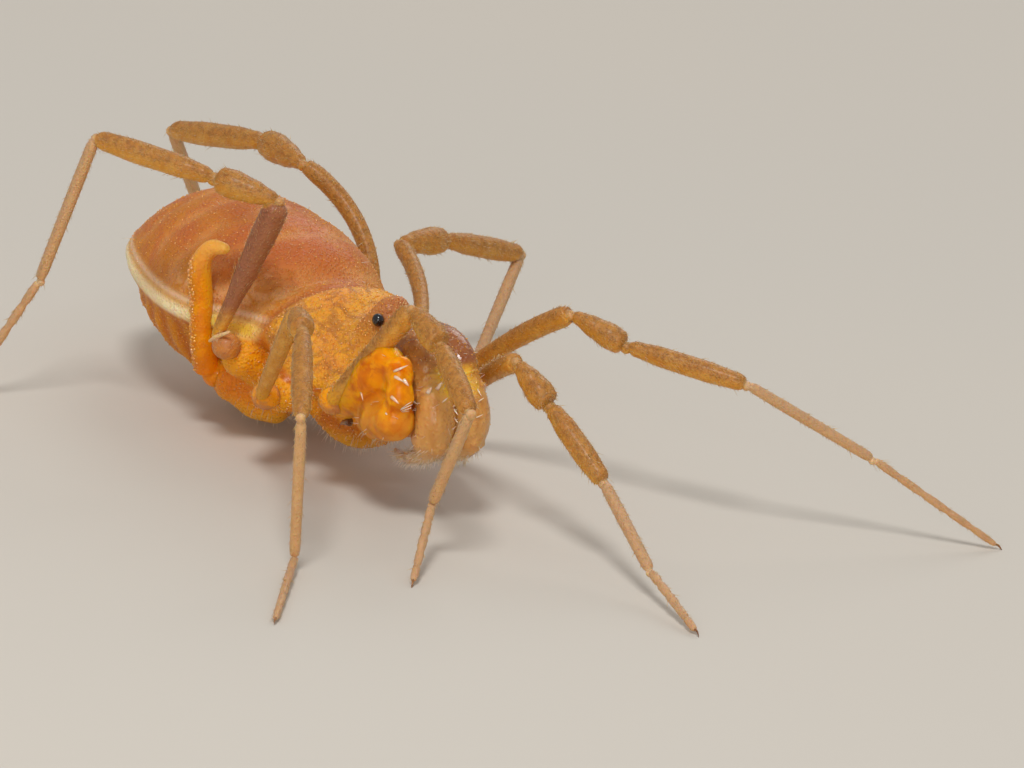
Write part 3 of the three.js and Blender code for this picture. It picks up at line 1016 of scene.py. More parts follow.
def paint_trunk(skin):
    """Masks for the trunk's colours, from each point's place."""
    points = animal_points(skin)
    x, y, z = points.T
    rim = rim_level(x)
    lift = z - rim
    above = smoothstep(lift, -0.02, 0.06)
    out = np.abs(y) / np.maximum(shield_half_width(x), 0.05)
    coxa, hind = np.zeros(len(points)), np.zeros(len(points))
    for sign in (1, -1):
        for pair, (thick, thin) in COXA_RADII.items():
            line = coxa_line(pair, sign)
            shares, _ = arc_shares(line)
            away = distances(points, line[::3])
            nearest = away.argmin(axis=1)
            reach = profile(shares[::3][nearest], ((0, thick), (0.45, thick), (1, thin)))
            inside = (1 - smoothstep(away.min(axis=1), reach + 0.03, reach + 0.14)) * (lift < -0.05)
            coxa = np.maximum(coxa, inside)
            if pair == 4:
                hind = np.maximum(hind, inside)
    rear = 1 - smoothstep(x, 0.85, 1.2)
    edge = np.maximum(smoothstep(out, 0.72, 0.86) * rear, smoothstep(-x, 2.33, 2.45))
    groove = np.zeros(len(points))
    inner = np.clip(out, 0, 1)
    for place in BAND_GROOVES:
        groove = np.maximum(groove, hump(x - place + BAND_BEND * inner ** 2, 0, 0.1))
    fold = hump(x - WAIST_CUT + FOLD_BEND * inner ** 2, 0, 0.08)
    flank = (1 - above) * (1 - coxa)
    low_side = smoothstep(z, -1.2, -0.75)
    # Painted shadow of the right third leg on the back, mirrored to both sides.
    saddle = np.exp(-(((x - LEG_SHADOW_MIDDLE[0]) / 0.32) ** 2 + ((np.abs(y) - LEG_SHADOW_MIDDLE[1]) / 0.22) ** 2))
    rim_band = hump(lift, 0.02, 0.08, 4) * edge
    store(
        skin,
        saddle=saddle * above,
        groove=groove * smoothstep(lift, 0.15, 0.5) * rear,
        low=(1 - smoothstep(lift, 0.25, 0.8)) * above * rear,
        fold=fold * above,
        # Painted sheen above the near rim, on one side only.
        blush=hump(lift, 0.34, 0.12) * smoothstep(x, -1.2, 0) * rear * (y < 0),
        carapace=above * smoothstep(x, 1.12, 1.3),
        hill=np.exp(-0.8 * hill_distance(x, y)) * above,
        gold=smoothstep(x, 1.2, 1.5) * (1 - smoothstep(lift, -0.1, 0.3)) * (1 - coxa),
        # Painted highlight on the raised crests of the side pleats.
        pleat=flank * rear * (0.5 + 0.5 * np.sin(x * 2 * math.pi / PLEAT_SPACING)),
        flank=flank * low_side,
        belly=(1 - low_side) * (1 - above),
        coxa=coxa,
        hind=hind * smoothstep(z, -1.15, -0.85),
        rim=rim_band,
        rim_front=rim_band * smoothstep(x, -0.2, 0.5),
        # The ridge's pale line: partly pale granules, partly a painted highlight along its crest.
        ridge=hump(lift, RIDGE_LIFT, 0.035) * edge,
        gutter=hump(lift, 0.12, 0.09, 4) * edge,
    )


def make_granules(context):
    sizes = context.scene.harvestman_sizes
    skin = bpy.data.objects["trunk_skin"]
    x, _, z = animal_points(skin).T
    above = smoothstep(z, rim_level(x) + 0.05, rim_level(x) + 0.12)
    dense = above * (smoothstep(x, 1.15, 1.4) + 0.25)
    side = (z < rim_level(x) - 0.1) & (z > -1.15)
    weights = dense + 0.5 * side
    count = sizes.granule_count * 2
    places, normals = scatter(skin, count, SEEDS["granules"], weights)
    kept = spaced(places, GRANULE_SPACING)[: sizes.granule_count]
    places, normals = places[kept], normals[kept]
    rng = np.random.default_rng(SEEDS["granule sizes"])
    radii = sizes.granule_radius / MM * (0.6 + 0.6 * rng.random(len(places)))
    radii = radii * np.where(places[:, 0] > 1.2, 1.0, 0.8)
    obj = granules("trunk_granules", places, normals, radii, trunk_unwrap(places))
    finish_piece(obj, "granule", "carapace")


def make_small_granules():
    """Granules on the chelicerae."""
    parts = []
    for number, name in enumerate(("chelicera_l", "chelicera_r")):
        skin = bpy.data.objects[name]
        weights = smoothstep(animal_points(skin)[:, 2], -0.1, 0.3) + 0.08
        seed = SEEDS["small granules"] + number
        places, normals = scatter(skin, SMALL_GRANULES, seed, weights)
        kept = spaced(places, SMALL_GRANULE_SPACING)
        unwrap = head_unwrap(places)
        parts.append((places[kept], normals[kept], unwrap[kept]))
    places, normals, unwrap = (np.concatenate(column) for column in zip(*parts))
    rng = np.random.default_rng(SEEDS["small granule sizes"])
    radii = 0.006 + 0.004 * rng.random(len(places))
    obj = granules("chelicera_granules", places, normals, radii, unwrap)
    finish_piece(obj, "granule", "chelicera")


def make_eyes():
    for letter in "lr":
        radii = EYE_RADIUS * np.array([1.0, 0.92, 1.0])
        bead = add_globe(f"eye_bead_{letter}", mirrored(EYE, side_of(letter)), radii, 32, 20)
        finish_piece(bead, "eye", "eye", f"eye_{letter}")


# Legs


def leg_lines(leg):
    """The middle lines of a leg's articles, from its root to its foot."""
    pair = int(leg[1])
    pose = LEG_POSES[leg]
    lengths = ARTICLE_LENGTHS[pair]
    joints = [mirrored(LEG_ROOTS[pair], side_of(leg))]
    for (yaw, pitch), length in zip(pose[:4], lengths):
        joints.append(joints[-1] + heading(yaw, pitch) * length)
    drop = max(-1.0, (FOOT_HEIGHT - RIM_HEIGHT - joints[4][2]) / lengths[4])
    pitch = math.degrees(math.asin(drop))
    joints.append(joints[4] + heading(pose[4], pitch) * lengths[4])
    lines = []
    for i in range(5):
        bow = NONE if i else FEMUR_BOWS.get(leg, NONE)
        start = joints[i] + (0 if i else np.array(FEMUR_STARTS.get(leg, NONE)))
        lines.append(bezier(start, joints[i + 1], bow))
    return joints, lines


def upper_side(line):
    """The direction of an article's back: up, and outwards where it stands on end."""
    tangent = unit(line[-1] - line[0])
    flat = math.hypot(tangent[0], tangent[1])
    out = tangent[:2] / max(flat, 1e-6)
    return np.array([-tangent[2] * out[0], -tangent[2] * out[1], flat])


ARTICLE_TABLES = {
    "femur": ((0, 0.05), (0.06, 0.066), (0.3, 0.078), (0.75, 0.088), (0.93, 0.09), (1, 0.072)),
    "patella": ((0, 0.048), (0.12, 0.08), (0.4, 0.122), (0.72, 0.148), (0.9, 0.135), (1, 0.088)),
    "tibia": ((0, 0.055), (0.08, 0.09), (0.3, 0.114), (0.65, 0.118), (0.92, 0.1), (1, 0.072)),
    "metatarsus": ((0, 0.044), (0.06, 0.06), (0.3, 0.064), (0.93, 0.06), (1, 0.048)),
    "tarsus": ((0, 0.038), (0.1, 0.046), (0.5, 0.046), (0.9, 0.04), (1, 0.03)),
}
LONG_FEMUR_TABLE = (
    (0, 0.05), (0.08, 0.068), (0.23, 0.08), (0.53, 0.118), (0.83, 0.135), (0.95, 0.13), (1, 0.09),
)
LEG_SHAPES = {}  # each built leg's articles: name, middle line, radius, back
TROCHANTER_SIZE = 0.165
TROCHANTER_SHIFTS = {"r3": (0.05, 0.0, 0.08)}
FEMUR_STARTS = {"r3": (-0.1, 0.02, 0.1)}
FEMUR_STOUTNESS = {"l1": 1.2, "l2": 1.36, "r1": 1.3, "r2": 1.15}
TROCHANTER_RIDGE = ((0.64, -1.35, -0.2), (0.83, -1.375, -0.08), (1.0, -1.31, 0.03))
RIDGE_TABLE = ((0, 0.016), (0.5, 0.026), (1, 0.016))
TARSUS_RINGS = 5


def article_radius(article, stout, table):
    """The radius along an article; the tarsus is drawn in at its rings."""

    def radius_at(share):
        radius = profile(share, table) * stout
        if article == "tarsus":
            waist = np.abs(np.cos(share * TARSUS_RINGS * math.pi)) ** 10
            radius = radius * (1 - 0.22 * waist * (share > 0.05) * (share < 0.95))
        return radius

    return radius_at


def make_leg(context, leg):
    sizes = context.scene.harvestman_sizes
    pair = int(leg[1])
    stout = LEG_STOUTNESS[pair] * sizes.leg_stoutness
    joints, lines = leg_lines(leg)
    start = mirrored(COXA_STARTS[pair], side_of(leg))
    ball = joints[0] + unit(start - joints[0]) * 0.09 + np.array(TROCHANTER_SHIFTS.get(leg, NONE))
    pieces = [add_globe("trochanter", ball, TROCHANTER_SIZE * np.array([1.0, 1.0, 0.94]), 28, 20)]
    if leg == "r3":
        ridge = smooth_path(TROCHANTER_RIDGE, 24)
        pieces.append(add_limb("ridge", ridge, RIDGE_TABLE, UP, 12, 16, caps=(0.02, 0.02)))
    shapes = []
    for i, (article, line) in enumerate(zip(ARTICLES, lines)):
        up = upper_side(line)
        inner = trimmed(line, 0.014 if i else -0.02, 0.02 if i < 4 else 0.0)
        table = LONG_FEMUR_TABLE if (leg, i) == ("r3", 0) else ARTICLE_TABLES[article]
        own = 1 if i else FEMUR_STOUTNESS.get(leg, 1)
        radius_at = article_radius(article, stout * own, table)
        rings = 64 if article == "tarsus" else 40
        pieces.append(add_limb(article, inner, radius_at, up, 20, rings, caps=(0.03, 0.035)))
        shapes.append((article, inner, radius_at, up))
        if i:
            size = 1.15 * profile(0.02, ARTICLE_TABLES[article]) * stout
            pieces.append(add_globe("membrane", joints[i] - up * 0.02, size * np.ones(3), 16, 10))
    pieces[0].name = pieces[0].data.name = f"leg_{leg}_skin"
    skin = unite(pieces[0], pieces[1:])
    face_outwards(skin)
    LEG_SHAPES[leg] = shapes
    paint_leg(skin, leg, joints, ball)
    nodes = [f"leg_{leg}_{article}" for article in ARTICLES]
    finish_piece(skin, "leg", "leg", *nodes)


def nearest_on_leg(points, shapes):
    """For each point: its article's index, and its share, back and direction there."""
    best = np.full(len(points), 1e9)
    index = np.zeros(len(points), int)
    share = np.zeros(len(points))
    up = np.zeros((len(points), 3))
    tangent = np.zeros((len(points), 3))
    for i, (_, line, _, back) in enumerate(shapes):
        shares, _ = arc_shares(line)
        away = distances(points, line[::2])
        nearest = away.argmin(axis=1)
        closer = away.min(axis=1) < best
        best[closer] = away.min(axis=1)[closer]
        index[closer] = i
        share[closer] = shares[::2][nearest][closer]
        up[closer] = back
        tangents = unit(np.gradient(line, axis=0))[::2]
        tangent[closer] = tangents[nearest][closer]
    return index, share, up, tangent


def paint_leg(skin, leg, joints, ball):
    points, normals = animal_points(skin), vertex_normals(skin)
    index, share, up, _ = nearest_on_leg(points, LEG_SHAPES[leg])
    facing = np.einsum("ij,ij->i", normals, up)
    away = np.min([np.linalg.norm(points - joint, axis=1) for joint in joints[1:5]], axis=0)
    from_root = np.linalg.norm(points - joints[0], axis=1)
    from_ball = np.linalg.norm(points - ball, axis=1)
    far_off = 1 - 0.6 * smoothstep(0.35 - from_root, 0, 0.3)
    pale = (1 - smoothstep(away, 0.035, 0.075)) * (1 - 0.6 * smoothstep(facing, 0.2, 0.8))
    if leg == "r3":
        ridge = smooth_path(TROCHANTER_RIDGE, 24)
        from_ridge = distances(points, ridge).min(axis=1)
        pale = np.maximum(pale, 1 - smoothstep(from_ridge, 0.024, 0.034))
    on_ball = 1 - smoothstep(from_ball, TROCHANTER_SIZE * 1.01, TROCHANTER_SIZE * 1.06)
    upper = smoothstep(points[:, 2] - ball[2], -0.12, 0.1)
    store(
        skin,
        dorsal=smoothstep(facing, -0.5, 0.4) * far_off,
        pale=pale,
        root=1 - smoothstep(from_root, 0.12, 0.4),
        ball=on_ball,
        dusky=on_ball * upper * (leg == "r3"),
        tip=(index >= 3) * 1.0,
        # Painted shade on the right third femur.
        rusty=((index == 0) & (leg == "r3")) * smoothstep(share, 0.1, 0.3),
    )


def make_claws():
    """One claw on legs I and II, two on legs III and IV."""
    pieces = []
    for leg, shapes in LEG_SHAPES.items():
        line = shapes[-1][1]
        end, ahead = line[-1], unit(line[-1] - line[-4])
        across = unit(np.cross(ahead, UP))
        spreads = (0.0,) if leg[1] in "12" else (0.028, -0.028)
        for spread in spreads:
            sign = 0 if spread == 0 else math.copysign(1, spread)
            base = end - ahead * 0.02 + across * spread
            path = smooth_path([
                base,
                base + ahead * 0.05 + across * sign * 0.012 + np.array([0, 0, 0.012]),
                base + ahead * 0.095 + across * sign * 0.018 + np.array([0, 0, -0.005]),
                base + ahead * 0.115 + across * sign * 0.016 + np.array([0, 0, -0.032]),
            ], 20)
            table = ((0, 0.016), (0.5, 0.011), (1, 0.002))
            pieces.append(add_limb("claw", path, table, UP, 8, 12, caps=(0.01, 0.004)))
    obj = join_pieces("claws", pieces)
    finish_piece(obj, "claw", "leg")


def make_short_leg():
    """The right hind leg: a thick curved femur that ends in a blunt tip."""
    root = mirrored(LEG_ROOTS[4], -1)
    path = smooth_path(np.array(SHORT_FEMUR) + root, 80)
    femur = add_limb(
        "leg_r4_skin", path, SHORT_FEMUR_TABLE, SHORT_FEMUR_BACK, 36, 90, caps=(0.08, 0.06))
    middle = root + np.array([0.07, 0.15, -0.02])
    globe = add_globe("trochanter", middle, (0.17, 0.16, 0.17), 28, 20)
    skin = unite(femur, [globe])
    points = animal_points(skin)
    shares, _ = arc_shares(path)
    nearest = distances(points, path).argmin(axis=1)
    share = shares[nearest]
    inward = unit(points - path[nearest]) @ unit(np.array([0.62, 0.78, 0]))
    store(
        skin,
        inner=smoothstep(inward, 0.1, 0.8) * smoothstep(share, 0.3, 0.55) * 0.9,
        tip=smoothstep(share, 0.62, 0.95) * 0.85,
        base=(1 - smoothstep(share, 0.02, 0.3)) * 0.8,
    )
    finish_piece(skin, "short", "leg", "leg_r4_femur")
    LEG_SHAPES["r4"] = [("femur", path, None, np.array(SHORT_FEMUR_BACK))]
    rng = np.random.default_rng(SEEDS["short leg"])
    tangents, ups, sides = line_frames(path, SHORT_FEMUR_BACK)
    roots, normals, places = [], [], []
    for k in range(SHORT_GRANULE_ROWS):
        for turn in SHORT_GRANULE_TURNS:
            at = 0.04 + 0.74 * (k + 0.5 * rng.random()) / SHORT_GRANULE_ROWS
            turn = turn + 0.15 * rng.standard_normal()
            i = int(np.clip(np.searchsorted(shares, at), 0, len(path) - 1))
            direction = ups[i] * math.cos(turn) + sides[i] * math.sin(turn)
            roots.append(path[i] + direction * (profile(at, SHORT_FEMUR_TABLE) - 0.003))
            normals.append(direction + 0.3 * tangents[i])
            places.append((turn / 6 + 0.5, at))
    radii = 0.018 * (0.5 + 0.8 * rng.random(len(roots)))
    beads = granules("leg_r4_granules", np.array(roots), np.array(normals), radii, np.array(places))
    finish_piece(beads, "granule", "leg")


# Mouthparts


# The chelicera's limbs: path, points on it, radii by share, back, faces around and along,
# flatness and caps.
CHELICERA_LIMBS = {
    "base": (
        ((2.5, 0.24, 0.33), (2.8, 0.23, 0.43), (3.08, 0.22, 0.44), (3.33, 0.22, 0.36),
         (3.53, 0.22, 0.17)),
        64, ((0, 0.13), (0.25, 0.19), (0.6, 0.215), (0.85, 0.2), (1, 0.14)),
        UP, 40, 44, 1.0, (0.14, 0.12),
    ),
    "hand": (
        ((3.5, 0.22, 0.1), (3.63, 0.225, -0.02), (3.69, 0.23, -0.19), (3.66, 0.23, -0.39),
         (3.52, 0.22, -0.57)),
        64, ((0, 0.17), (0.15, 0.21), (0.5, 0.232), (0.8, 0.22), (1, 0.15)),
        (1, 0, 0), 40, 44, 1.0, (0.1, 0.12),
    ),
    "fixed": (
        ((3.6, 0.22, -0.38), (3.27, 0.22, -0.49), (3.06, 0.22, -0.58), (2.9, 0.22, -0.68)),
        40, ((0, 0.09), (0.4, 0.055), (0.75, 0.035), (1, 0.014)),
        (1, 0, 0), 20, 28, 1.0, (0.05, 0.02),
    ),
    "moving": (
        ((3.86, 0.22, -0.41), (3.64, 0.22, -0.59), (3.34, 0.22, -0.75), (3.09, 0.22, -0.82),
         (2.93, 0.22, -0.79)),
        40, ((0, 0.13), (0.3, 0.135), (0.6, 0.1), (0.85, 0.06), (1, 0.02)),
        (1, 0, 0), 20, 28, 0.9, (0.08, 0.02),
    ),
}


def make_chelicera(letter):
    sign = side_of(letter)
    pieces = [
        add_limb(name, smooth_path(mirrored(places, sign), count), *shape)
        for name, (places, count, *shape) in CHELICERA_LIMBS.items()
    ]
    pieces.append(add_globe("collar", mirrored((3.52, 0.24, 0.1), sign), (0.2, 0.2, 0.2), 24, 18))
    pieces[0].name = pieces[0].data.name = f"chelicera_{letter}"
    skin = unite(pieces[0], pieces[1:])
    fill_creases(skin, CHELICERA_FILL, CHELICERA_FINENESS)
    soften(skin, CHELICERA_FINENESS, CHELICERA_SMOOTHING)
    points = animal_points(skin)
    x, y, z = points.T
    joint = np.linalg.norm(points - mirrored((3.54, 0.24, 0.12), sign), axis=1)
    collar = 1 - smoothstep(joint, 0.22, 0.3)
    on_hand = smoothstep(x - 3.45 - 0.9 * (z - 0.12), -0.05, 0.08)
    shade = 1.0 if letter == "l" else 0.35
    store(
        skin,
        bulla=1 - on_hand,
        top=smoothstep(z + 0.3 * (x - 3.0), 0.42, 0.62) * (1 - collar) * shade,
        pale=collar * smoothstep(0.22 - y * sign, -0.12, 0.1) * 0.95,
        finger=smoothstep(-z + 0.25 * (3.6 - x), 0.4, 0.7),
    )
    nodes = [f"chelicera_{letter}_{half}" for half in ("base", "hand")]
    finish_piece(skin, "chelicera", "chelicera", *nodes)


PALP_PATHS = {
    "r": {
        "femur": ((2.38, 0.65, -0.46), (2.84, 0.66, -0.08), (3.2, 0.66, 0.3), (3.38, 0.65, 0.5)),
        "patella": ((3.4, 0.64, 0.48), (3.5, 0.64, 0.34), (3.55, 0.64, 0.18)),
        "tibia": ((3.53, 0.64, 0.24), (3.56, 0.64, 0.08), (3.6, 0.63, -0.06)),
        "tarsus": ((3.7, 0.62, -0.15), (3.29, 0.62, -0.31), (2.82, 0.62, -0.44)),
        "claw": ((2.63, 0.64, -0.54), (2.51, 0.66, -0.59), (2.45, 0.66, -0.64)),
    },
    "l": {
        "femur": ((2.42, 0.56, -0.52), (2.75, 0.52, -0.38), (3.0, 0.48, -0.27), (3.16, 0.44, -0.26)),
        "patella": ((3.08, 0.45, -0.26), (3.24, 0.42, -0.3), (3.31, 0.42, -0.42)),
        "tibia": ((3.31, 0.42, -0.4), (3.28, 0.43, -0.58), (3.14, 0.46, -0.68)),
        "tarsus": ((3.12, 0.47, -0.7), (2.8, 0.52, -0.76), (2.54, 0.54, -0.77)),
        "claw": ((2.6, 0.54, -0.77), (2.46, 0.53, -0.77), (2.36, 0.51, -0.72)),
    },
}
PALP_SCALE = {"r": 1.0, "l": 0.8}
PALP_TABLES = {
    "femur": ((0, 0.17), (0.35, 0.24), (0.7, 0.25), (0.9, 0.2), (1, 0.16)),
    "patella": ((0, 0.155), (1, 0.155)),
    "tibia": ((0, 0.155), (1, 0.165)),
    "tarsus": ((0, 0.17), (0.25, 0.23), (0.6, 0.225), (0.85, 0.16), (1, 0.08)),
}
# The hidden pedipalp's spines: the articles that bear them, and where its underside faces.
PALP_UNDERSIDES = {"femur": (0.6, 0, -0.8), "tibia": (-0.3, 0, 1), "tarsus": UP}
SPINES_PER_ARTICLE = 3
# Spines seen in the photo: piece, place near its skin, direction, length and radius.
MOUTHPART_SPINES = (
    ("pedipalp_r", (3.43, -0.66, 0.32), (0.67, 0.48, 0.57), 0.20, 0.018),
    ("pedipalp_r", (3.46, -0.66, 0.27), (0.90, 0.38, -0.21), 0.13, 0.022),
    ("pedipalp_r", (3.64, -0.66, 0.29), (0.87, 0.19, -0.45), 0.10, 0.026),
    ("pedipalp_r", (3.44, -0.66, 0.03), (0.89, 0.25, -0.39), 0.13, 0.024),
    ("pedipalp_r", (3.36, -0.66, -0.19), (0.89, 0.27, -0.36), 0.10, 0.017),
    ("pedipalp_r", (2.82, -0.66, -0.13), (0.74, -0.13, -0.66), 0.11, 0.013),
    ("pedipalp_r", (3.63, -0.66, -0.05), (0.60, 0.44, 0.67), 0.18, 0.009),
    ("pedipalp_r", (3.63, -0.66, -0.06), (0.68, 0.48, 0.56), 0.18, 0.009),
    ("pedipalp_r", (3.65, -0.66, -0.07), (0.72, 0.50, 0.49), 0.15, 0.009),
    ("pedipalp_r", (3.60, -0.66, -0.05), (0.57, 0.42, 0.71), 0.11, 0.008),
    ("pedipalp_r", (3.67, -0.66, -0.07), (0.78, 0.52, 0.34), 0.10, 0.009),
    ("pedipalp_r", (3.23, -0.66, 0.11), (0.67, 0.48, 0.56), 0.10, 0.010),
    ("pedipalp_r", (3.05, -0.66, -0.19), (0.89, 0.25, -0.39), 0.09, 0.012),
    ("chelicera_r", (4.08, -0.30, 0.22), (0.53, 0.39, 0.75), 0.10, 0.012),
    ("chelicera_r", (4.12, -0.30, 0.11), (0.48, 0.34, 0.80), 0.10, 0.012),
    ("chelicera_r", (4.14, -0.30, 0.09), (0.86, 0.16, -0.48), 0.10, 0.012),
    ("chelicera_r", (4.17, -0.30, 0.00), (0.85, 0.12, -0.51), 0.09, 0.010),
    ("chelicera_r", (4.15, -0.30, -0.15), (0.52, 0.37, 0.77), 0.08, 0.010),
    ("chelicera_r", (3.60, -0.30, 0.10), (0.38, 0.24, 0.89), 0.09, 0.030),
    ("chelicera_r", (3.77, -0.30, 0.20), (0.40, 0.26, 0.88), 0.11, 0.026),
    ("chelicera_l", (3.96, 0.10, 0.23), (0.85, 0.11, -0.52), 0.11, 0.010),
    ("chelicera_l", (4.01, 0.10, 0.10), (0.59, 0.43, 0.69), 0.09, 0.010),
    ("chelicera_l", (4.00, 0.10, -0.09), (0.67, 0.48, 0.56), 0.10, 0.010),
)
SPINE_FALL = (-0.788, 0.532, -0.309)  # away from the photo's camera


def palp_line(letter, article):
    return smooth_path(mirrored(PALP_PATHS[letter][article], side_of(letter)))


def scaled_table(article, letter):
    return tuple((share, radius * PALP_SCALE[letter]) for share, radius in PALP_TABLES[article])


def make_palp(letter):
    pieces = []
    for article in PALP_TABLES:
        line = palp_line(letter, article)
        table = scaled_table(article, letter)
        pieces.append(add_limb(article, line, table, (1, 0, 0.3), 40, 40, caps=(0.12, 0.1)))
    pieces[0].name = pieces[0].data.name = f"pedipalp_{letter}"
    skin = unite(pieces[0], pieces[1:])
    fill_creases(skin, PALP_FILL, PALP_FILL_FINENESS)
    soften(skin, PALP_FINENESS, PALP_SMOOTHING)
    points = animal_points(skin)
    joints = np.array([palp_line(letter, article)[-1] for article in ("femur", "patella")])
    away = np.min([np.linalg.norm(points - joint, axis=1) for joint in joints], axis=0)
    above = ("femur", "patella", "tibia")
    upper = np.vstack([palp_line(letter, article) for article in above])
    to_lower = distances(points, palp_line(letter, "tarsus")[::3]).min(axis=1)
    to_upper = distances(points, upper[::3]).min(axis=1)
    store(
        skin,
        pale=(1 - smoothstep(away, 0.12, 0.28)) * 0.3,
        end=smoothstep(to_upper - to_lower, -0.1, 0.15) * 0.85,
    )
    finish_piece(skin, "palp", "pedipalp", *[f"pedipalp_{letter}_{article}" for article in above])


def make_palp_claws():
    pieces = []
    for letter in "lr":
        path = palp_line(letter, "claw")
        table = ((0, 0.055), (0.4, 0.035), (1, 0.006))
        pieces.append(add_limb("claw", path, table, UP, 12, 18, caps=(0.02, 0.01)))
    obj = join_pieces("pedipalp_claws", pieces)
    finish_piece(obj, "claw", "pedipalp")


def spine_row(line, table, underside, rng):
    """Spines along the outer edge of a left limb: places, directions, lengths and radii."""
    tangents, ups, _ = line_frames(line, underside)
    shares, _ = arc_shares(line)
    rows = []
    for k in range(SPINES_PER_ARTICLE):
        at = (k + 0.6) / (SPINES_PER_ARTICLE + 0.2)
        i = int(np.searchsorted(shares, at))
        turn = 0.9 + 0.2 * rng.standard_normal()
        direction = unit(ups[i] * math.cos(turn) + np.array([0, 1, 0]) * math.sin(turn))
        place = line[i] + direction * (profile(at, table) - 0.012)
        length = 0.1 + 0.06 * rng.random()
        rows.append((*place, *(direction + 0.25 * tangents[i]), length, 0.014))
    return rows


def make_palp_spines():
    """Pale spines of the mouthparts; each place is let down onto its skin along one direction."""
    rng = np.random.default_rng(SEEDS["spines"])
    rows = []
    fall = unit(np.array(SPINE_FALL))
    for name, place, direction, length, radius in MOUTHPART_SPINES:
        skin = bpy.data.objects[name]
        start = Vector((np.array(place) + PLACE - 1.2 * fall) * MM)
        found, point, _, _ = skin.ray_cast(start, Vector(fall), distance=3 * MM)
        if not found:
            _, point, _, _ = skin.closest_point_on_mesh(Vector((np.array(place) + PLACE) * MM))
        root = np.array(point) / MM - PLACE + fall * 0.012
        rows.append((*root, *direction, length, radius))
    for article, underside in PALP_UNDERSIDES.items():
        rows += spine_row(palp_line("l", article), scaled_table(article, "l"), underside, rng)
    rows = np.array(rows)
    roots, directions, lengths, radii = rows[:, :3], rows[:, 3:6], rows[:, 6], rows[:, 7]
    unwrap = head_unwrap(roots)
    straight = np.zeros_like(roots)
    obj = thorns("pedipalp_spines", roots, directions, lengths, radii, straight, unwrap, 8, 4)
    finish_piece(obj, "spine", "pedipalp")


# Down


# Pieces with hairs: name, depths under the rim between which they set in, and their number.
HAIRY_PIECES = (
    ("chelicera_l", 0.45, 0.75, 420),
    ("chelicera_r", 0.45, 0.75, 420),
    ("pedipalp_l", 0.6, 0.9, 160),
    ("pedipalp_r", 0.3, 0.6, 50),
)


def make_leg_down(context):
    """Short fine hairs over the legs that lean towards the feet, and a few longer ones."""
    sizes = context.scene.harvestman_sizes
    rng = np.random.default_rng(SEEDS["down"])
    parts = []
    for number, leg in enumerate(sorted(LEG_POSES)):
        skin = bpy.data.objects[f"leg_{leg}_skin"]
        count = sizes.down_per_leg
        places, normals = scatter(skin, count, SEEDS["down of a leg"] + number)
        index, share, up, tangent = nearest_on_leg(places, LEG_SHAPES[leg])
        lean = 0.9 + 0.5 * rng.random((count, 1))
        directions = unit(normals + lean * tangent + 0.15 * rng.standard_normal((count, 3)))
        lengths = sizes.down_length / MM * (0.7 + 0.7 * rng.random(count))
        long_one = rng.random(count) < LONG_HAIR_SHARE
        lengths = np.where(long_one, lengths * LONG_HAIR_FACTOR, lengths)
        radii = np.where(long_one, LONG_HAIR_RADIUS, DOWN_RADIUS)
        across = np.einsum("ij,ij->i", normals, np.cross(tangent, up))
        around = np.arctan2(across, np.einsum("ij,ij->i", normals, up))
        along = (index + share) / 5
        unwrap = np.stack([(number + 0.5 + around / (2 * math.pi) * 0.9) / 7, along], axis=-1)
        parts.append((places, directions, lengths, radii, tangent * 0.15, unwrap))
    columns = [np.concatenate(column) for column in zip(*parts)]
    obj = thorns("leg_down", *columns, sides=3, ring_count=1)
    finish_piece(obj, "down", "leg")


def make_body_hairs():
    """Hairs on the chelicerae's fingers, the pedipalps' ends and the underside."""
    rng = np.random.default_rng(SEEDS["hairs"])
    parts = []
    for number, (name, low, high, count) in enumerate(HAIRY_PIECES):
        skin = bpy.data.objects[name]
        weights = smoothstep(-animal_points(skin)[:, 2], low, high) + 0.03
        places, normals = scatter(skin, count, SEEDS["hairs of a piece"] + number, weights)
        sweep = np.tile([[-0.7, 0.0, -0.7]], (len(places), 1))
        directions = unit(normals + 0.6 * sweep + 0.25 * rng.standard_normal(places.shape))
        lengths = 0.05 + 0.06 * rng.random(len(places))
        unwrap = head_unwrap(places)
        radii = np.full(len(places), BODY_HAIR_RADIUS)
        parts.append((places, directions, lengths, radii, sweep * 0.2, unwrap))
    skin = bpy.data.objects["trunk_skin"]
    points = animal_points(skin)
    weights = smoothstep(-points[:, 2], 0.7, 1.0) * smoothstep(points[:, 0], 0.3, 1.0) + 0.02
    places, normals = scatter(skin, TRUNK_HAIRS, SEEDS["hairs of the trunk"], weights)
    down = np.tile([[0.2, 0.0, -0.8]], (len(places), 1))
    directions = unit(normals + 0.5 * down + 0.2 * rng.standard_normal(places.shape))
    lengths = 0.05 + 0.07 * rng.random(len(places))
    radii = np.full(len(places), BODY_HAIR_RADIUS)
    parts.append((places, directions, lengths, radii, down * 0.15, trunk_unwrap(places)))
    columns = [np.concatenate(column) for column in zip(*parts)]
    obj = thorns("body_hairs", *columns, sides=3, ring_count=2)
    finish_piece(obj, "pale hair", "chelicera")


# Stage


# Lights: name, place and size in metres, and power in watts.
LIGHTS = (
    ("key", (0.035, -0.035, 0.085), 0.026, 0.046),
    ("fill", (0.06, -0.05, 0.02), 0.05, 0.014),
    ("back", (-0.05, 0.06, 0.06), 0.06, 0.02),
)


def make_stage(context):
    bpy.ops.object.select_all(action="DESELECT")
    bpy.ops.mesh.primitive_plane_add(size=0.8)
    floor = bpy.context.active_object
    floor.name = floor.data.name = "floor"
    floor.data.materials.append(floor_material())
    for light in LIGHTS:
        add_area_light(*light)
    world = bpy.data.worlds.new("studio")
    world.use_nodes = True
    background = world.node_tree.nodes["Background"]
    background.inputs["Color"].default_value = (1.0, 0.98, 0.95, 1.0)
    background.inputs["Strength"].default_value = 0.4
    context.scene.world = world
    context.scene.view_settings.view_transform = "Standard"
    add_camera(context)


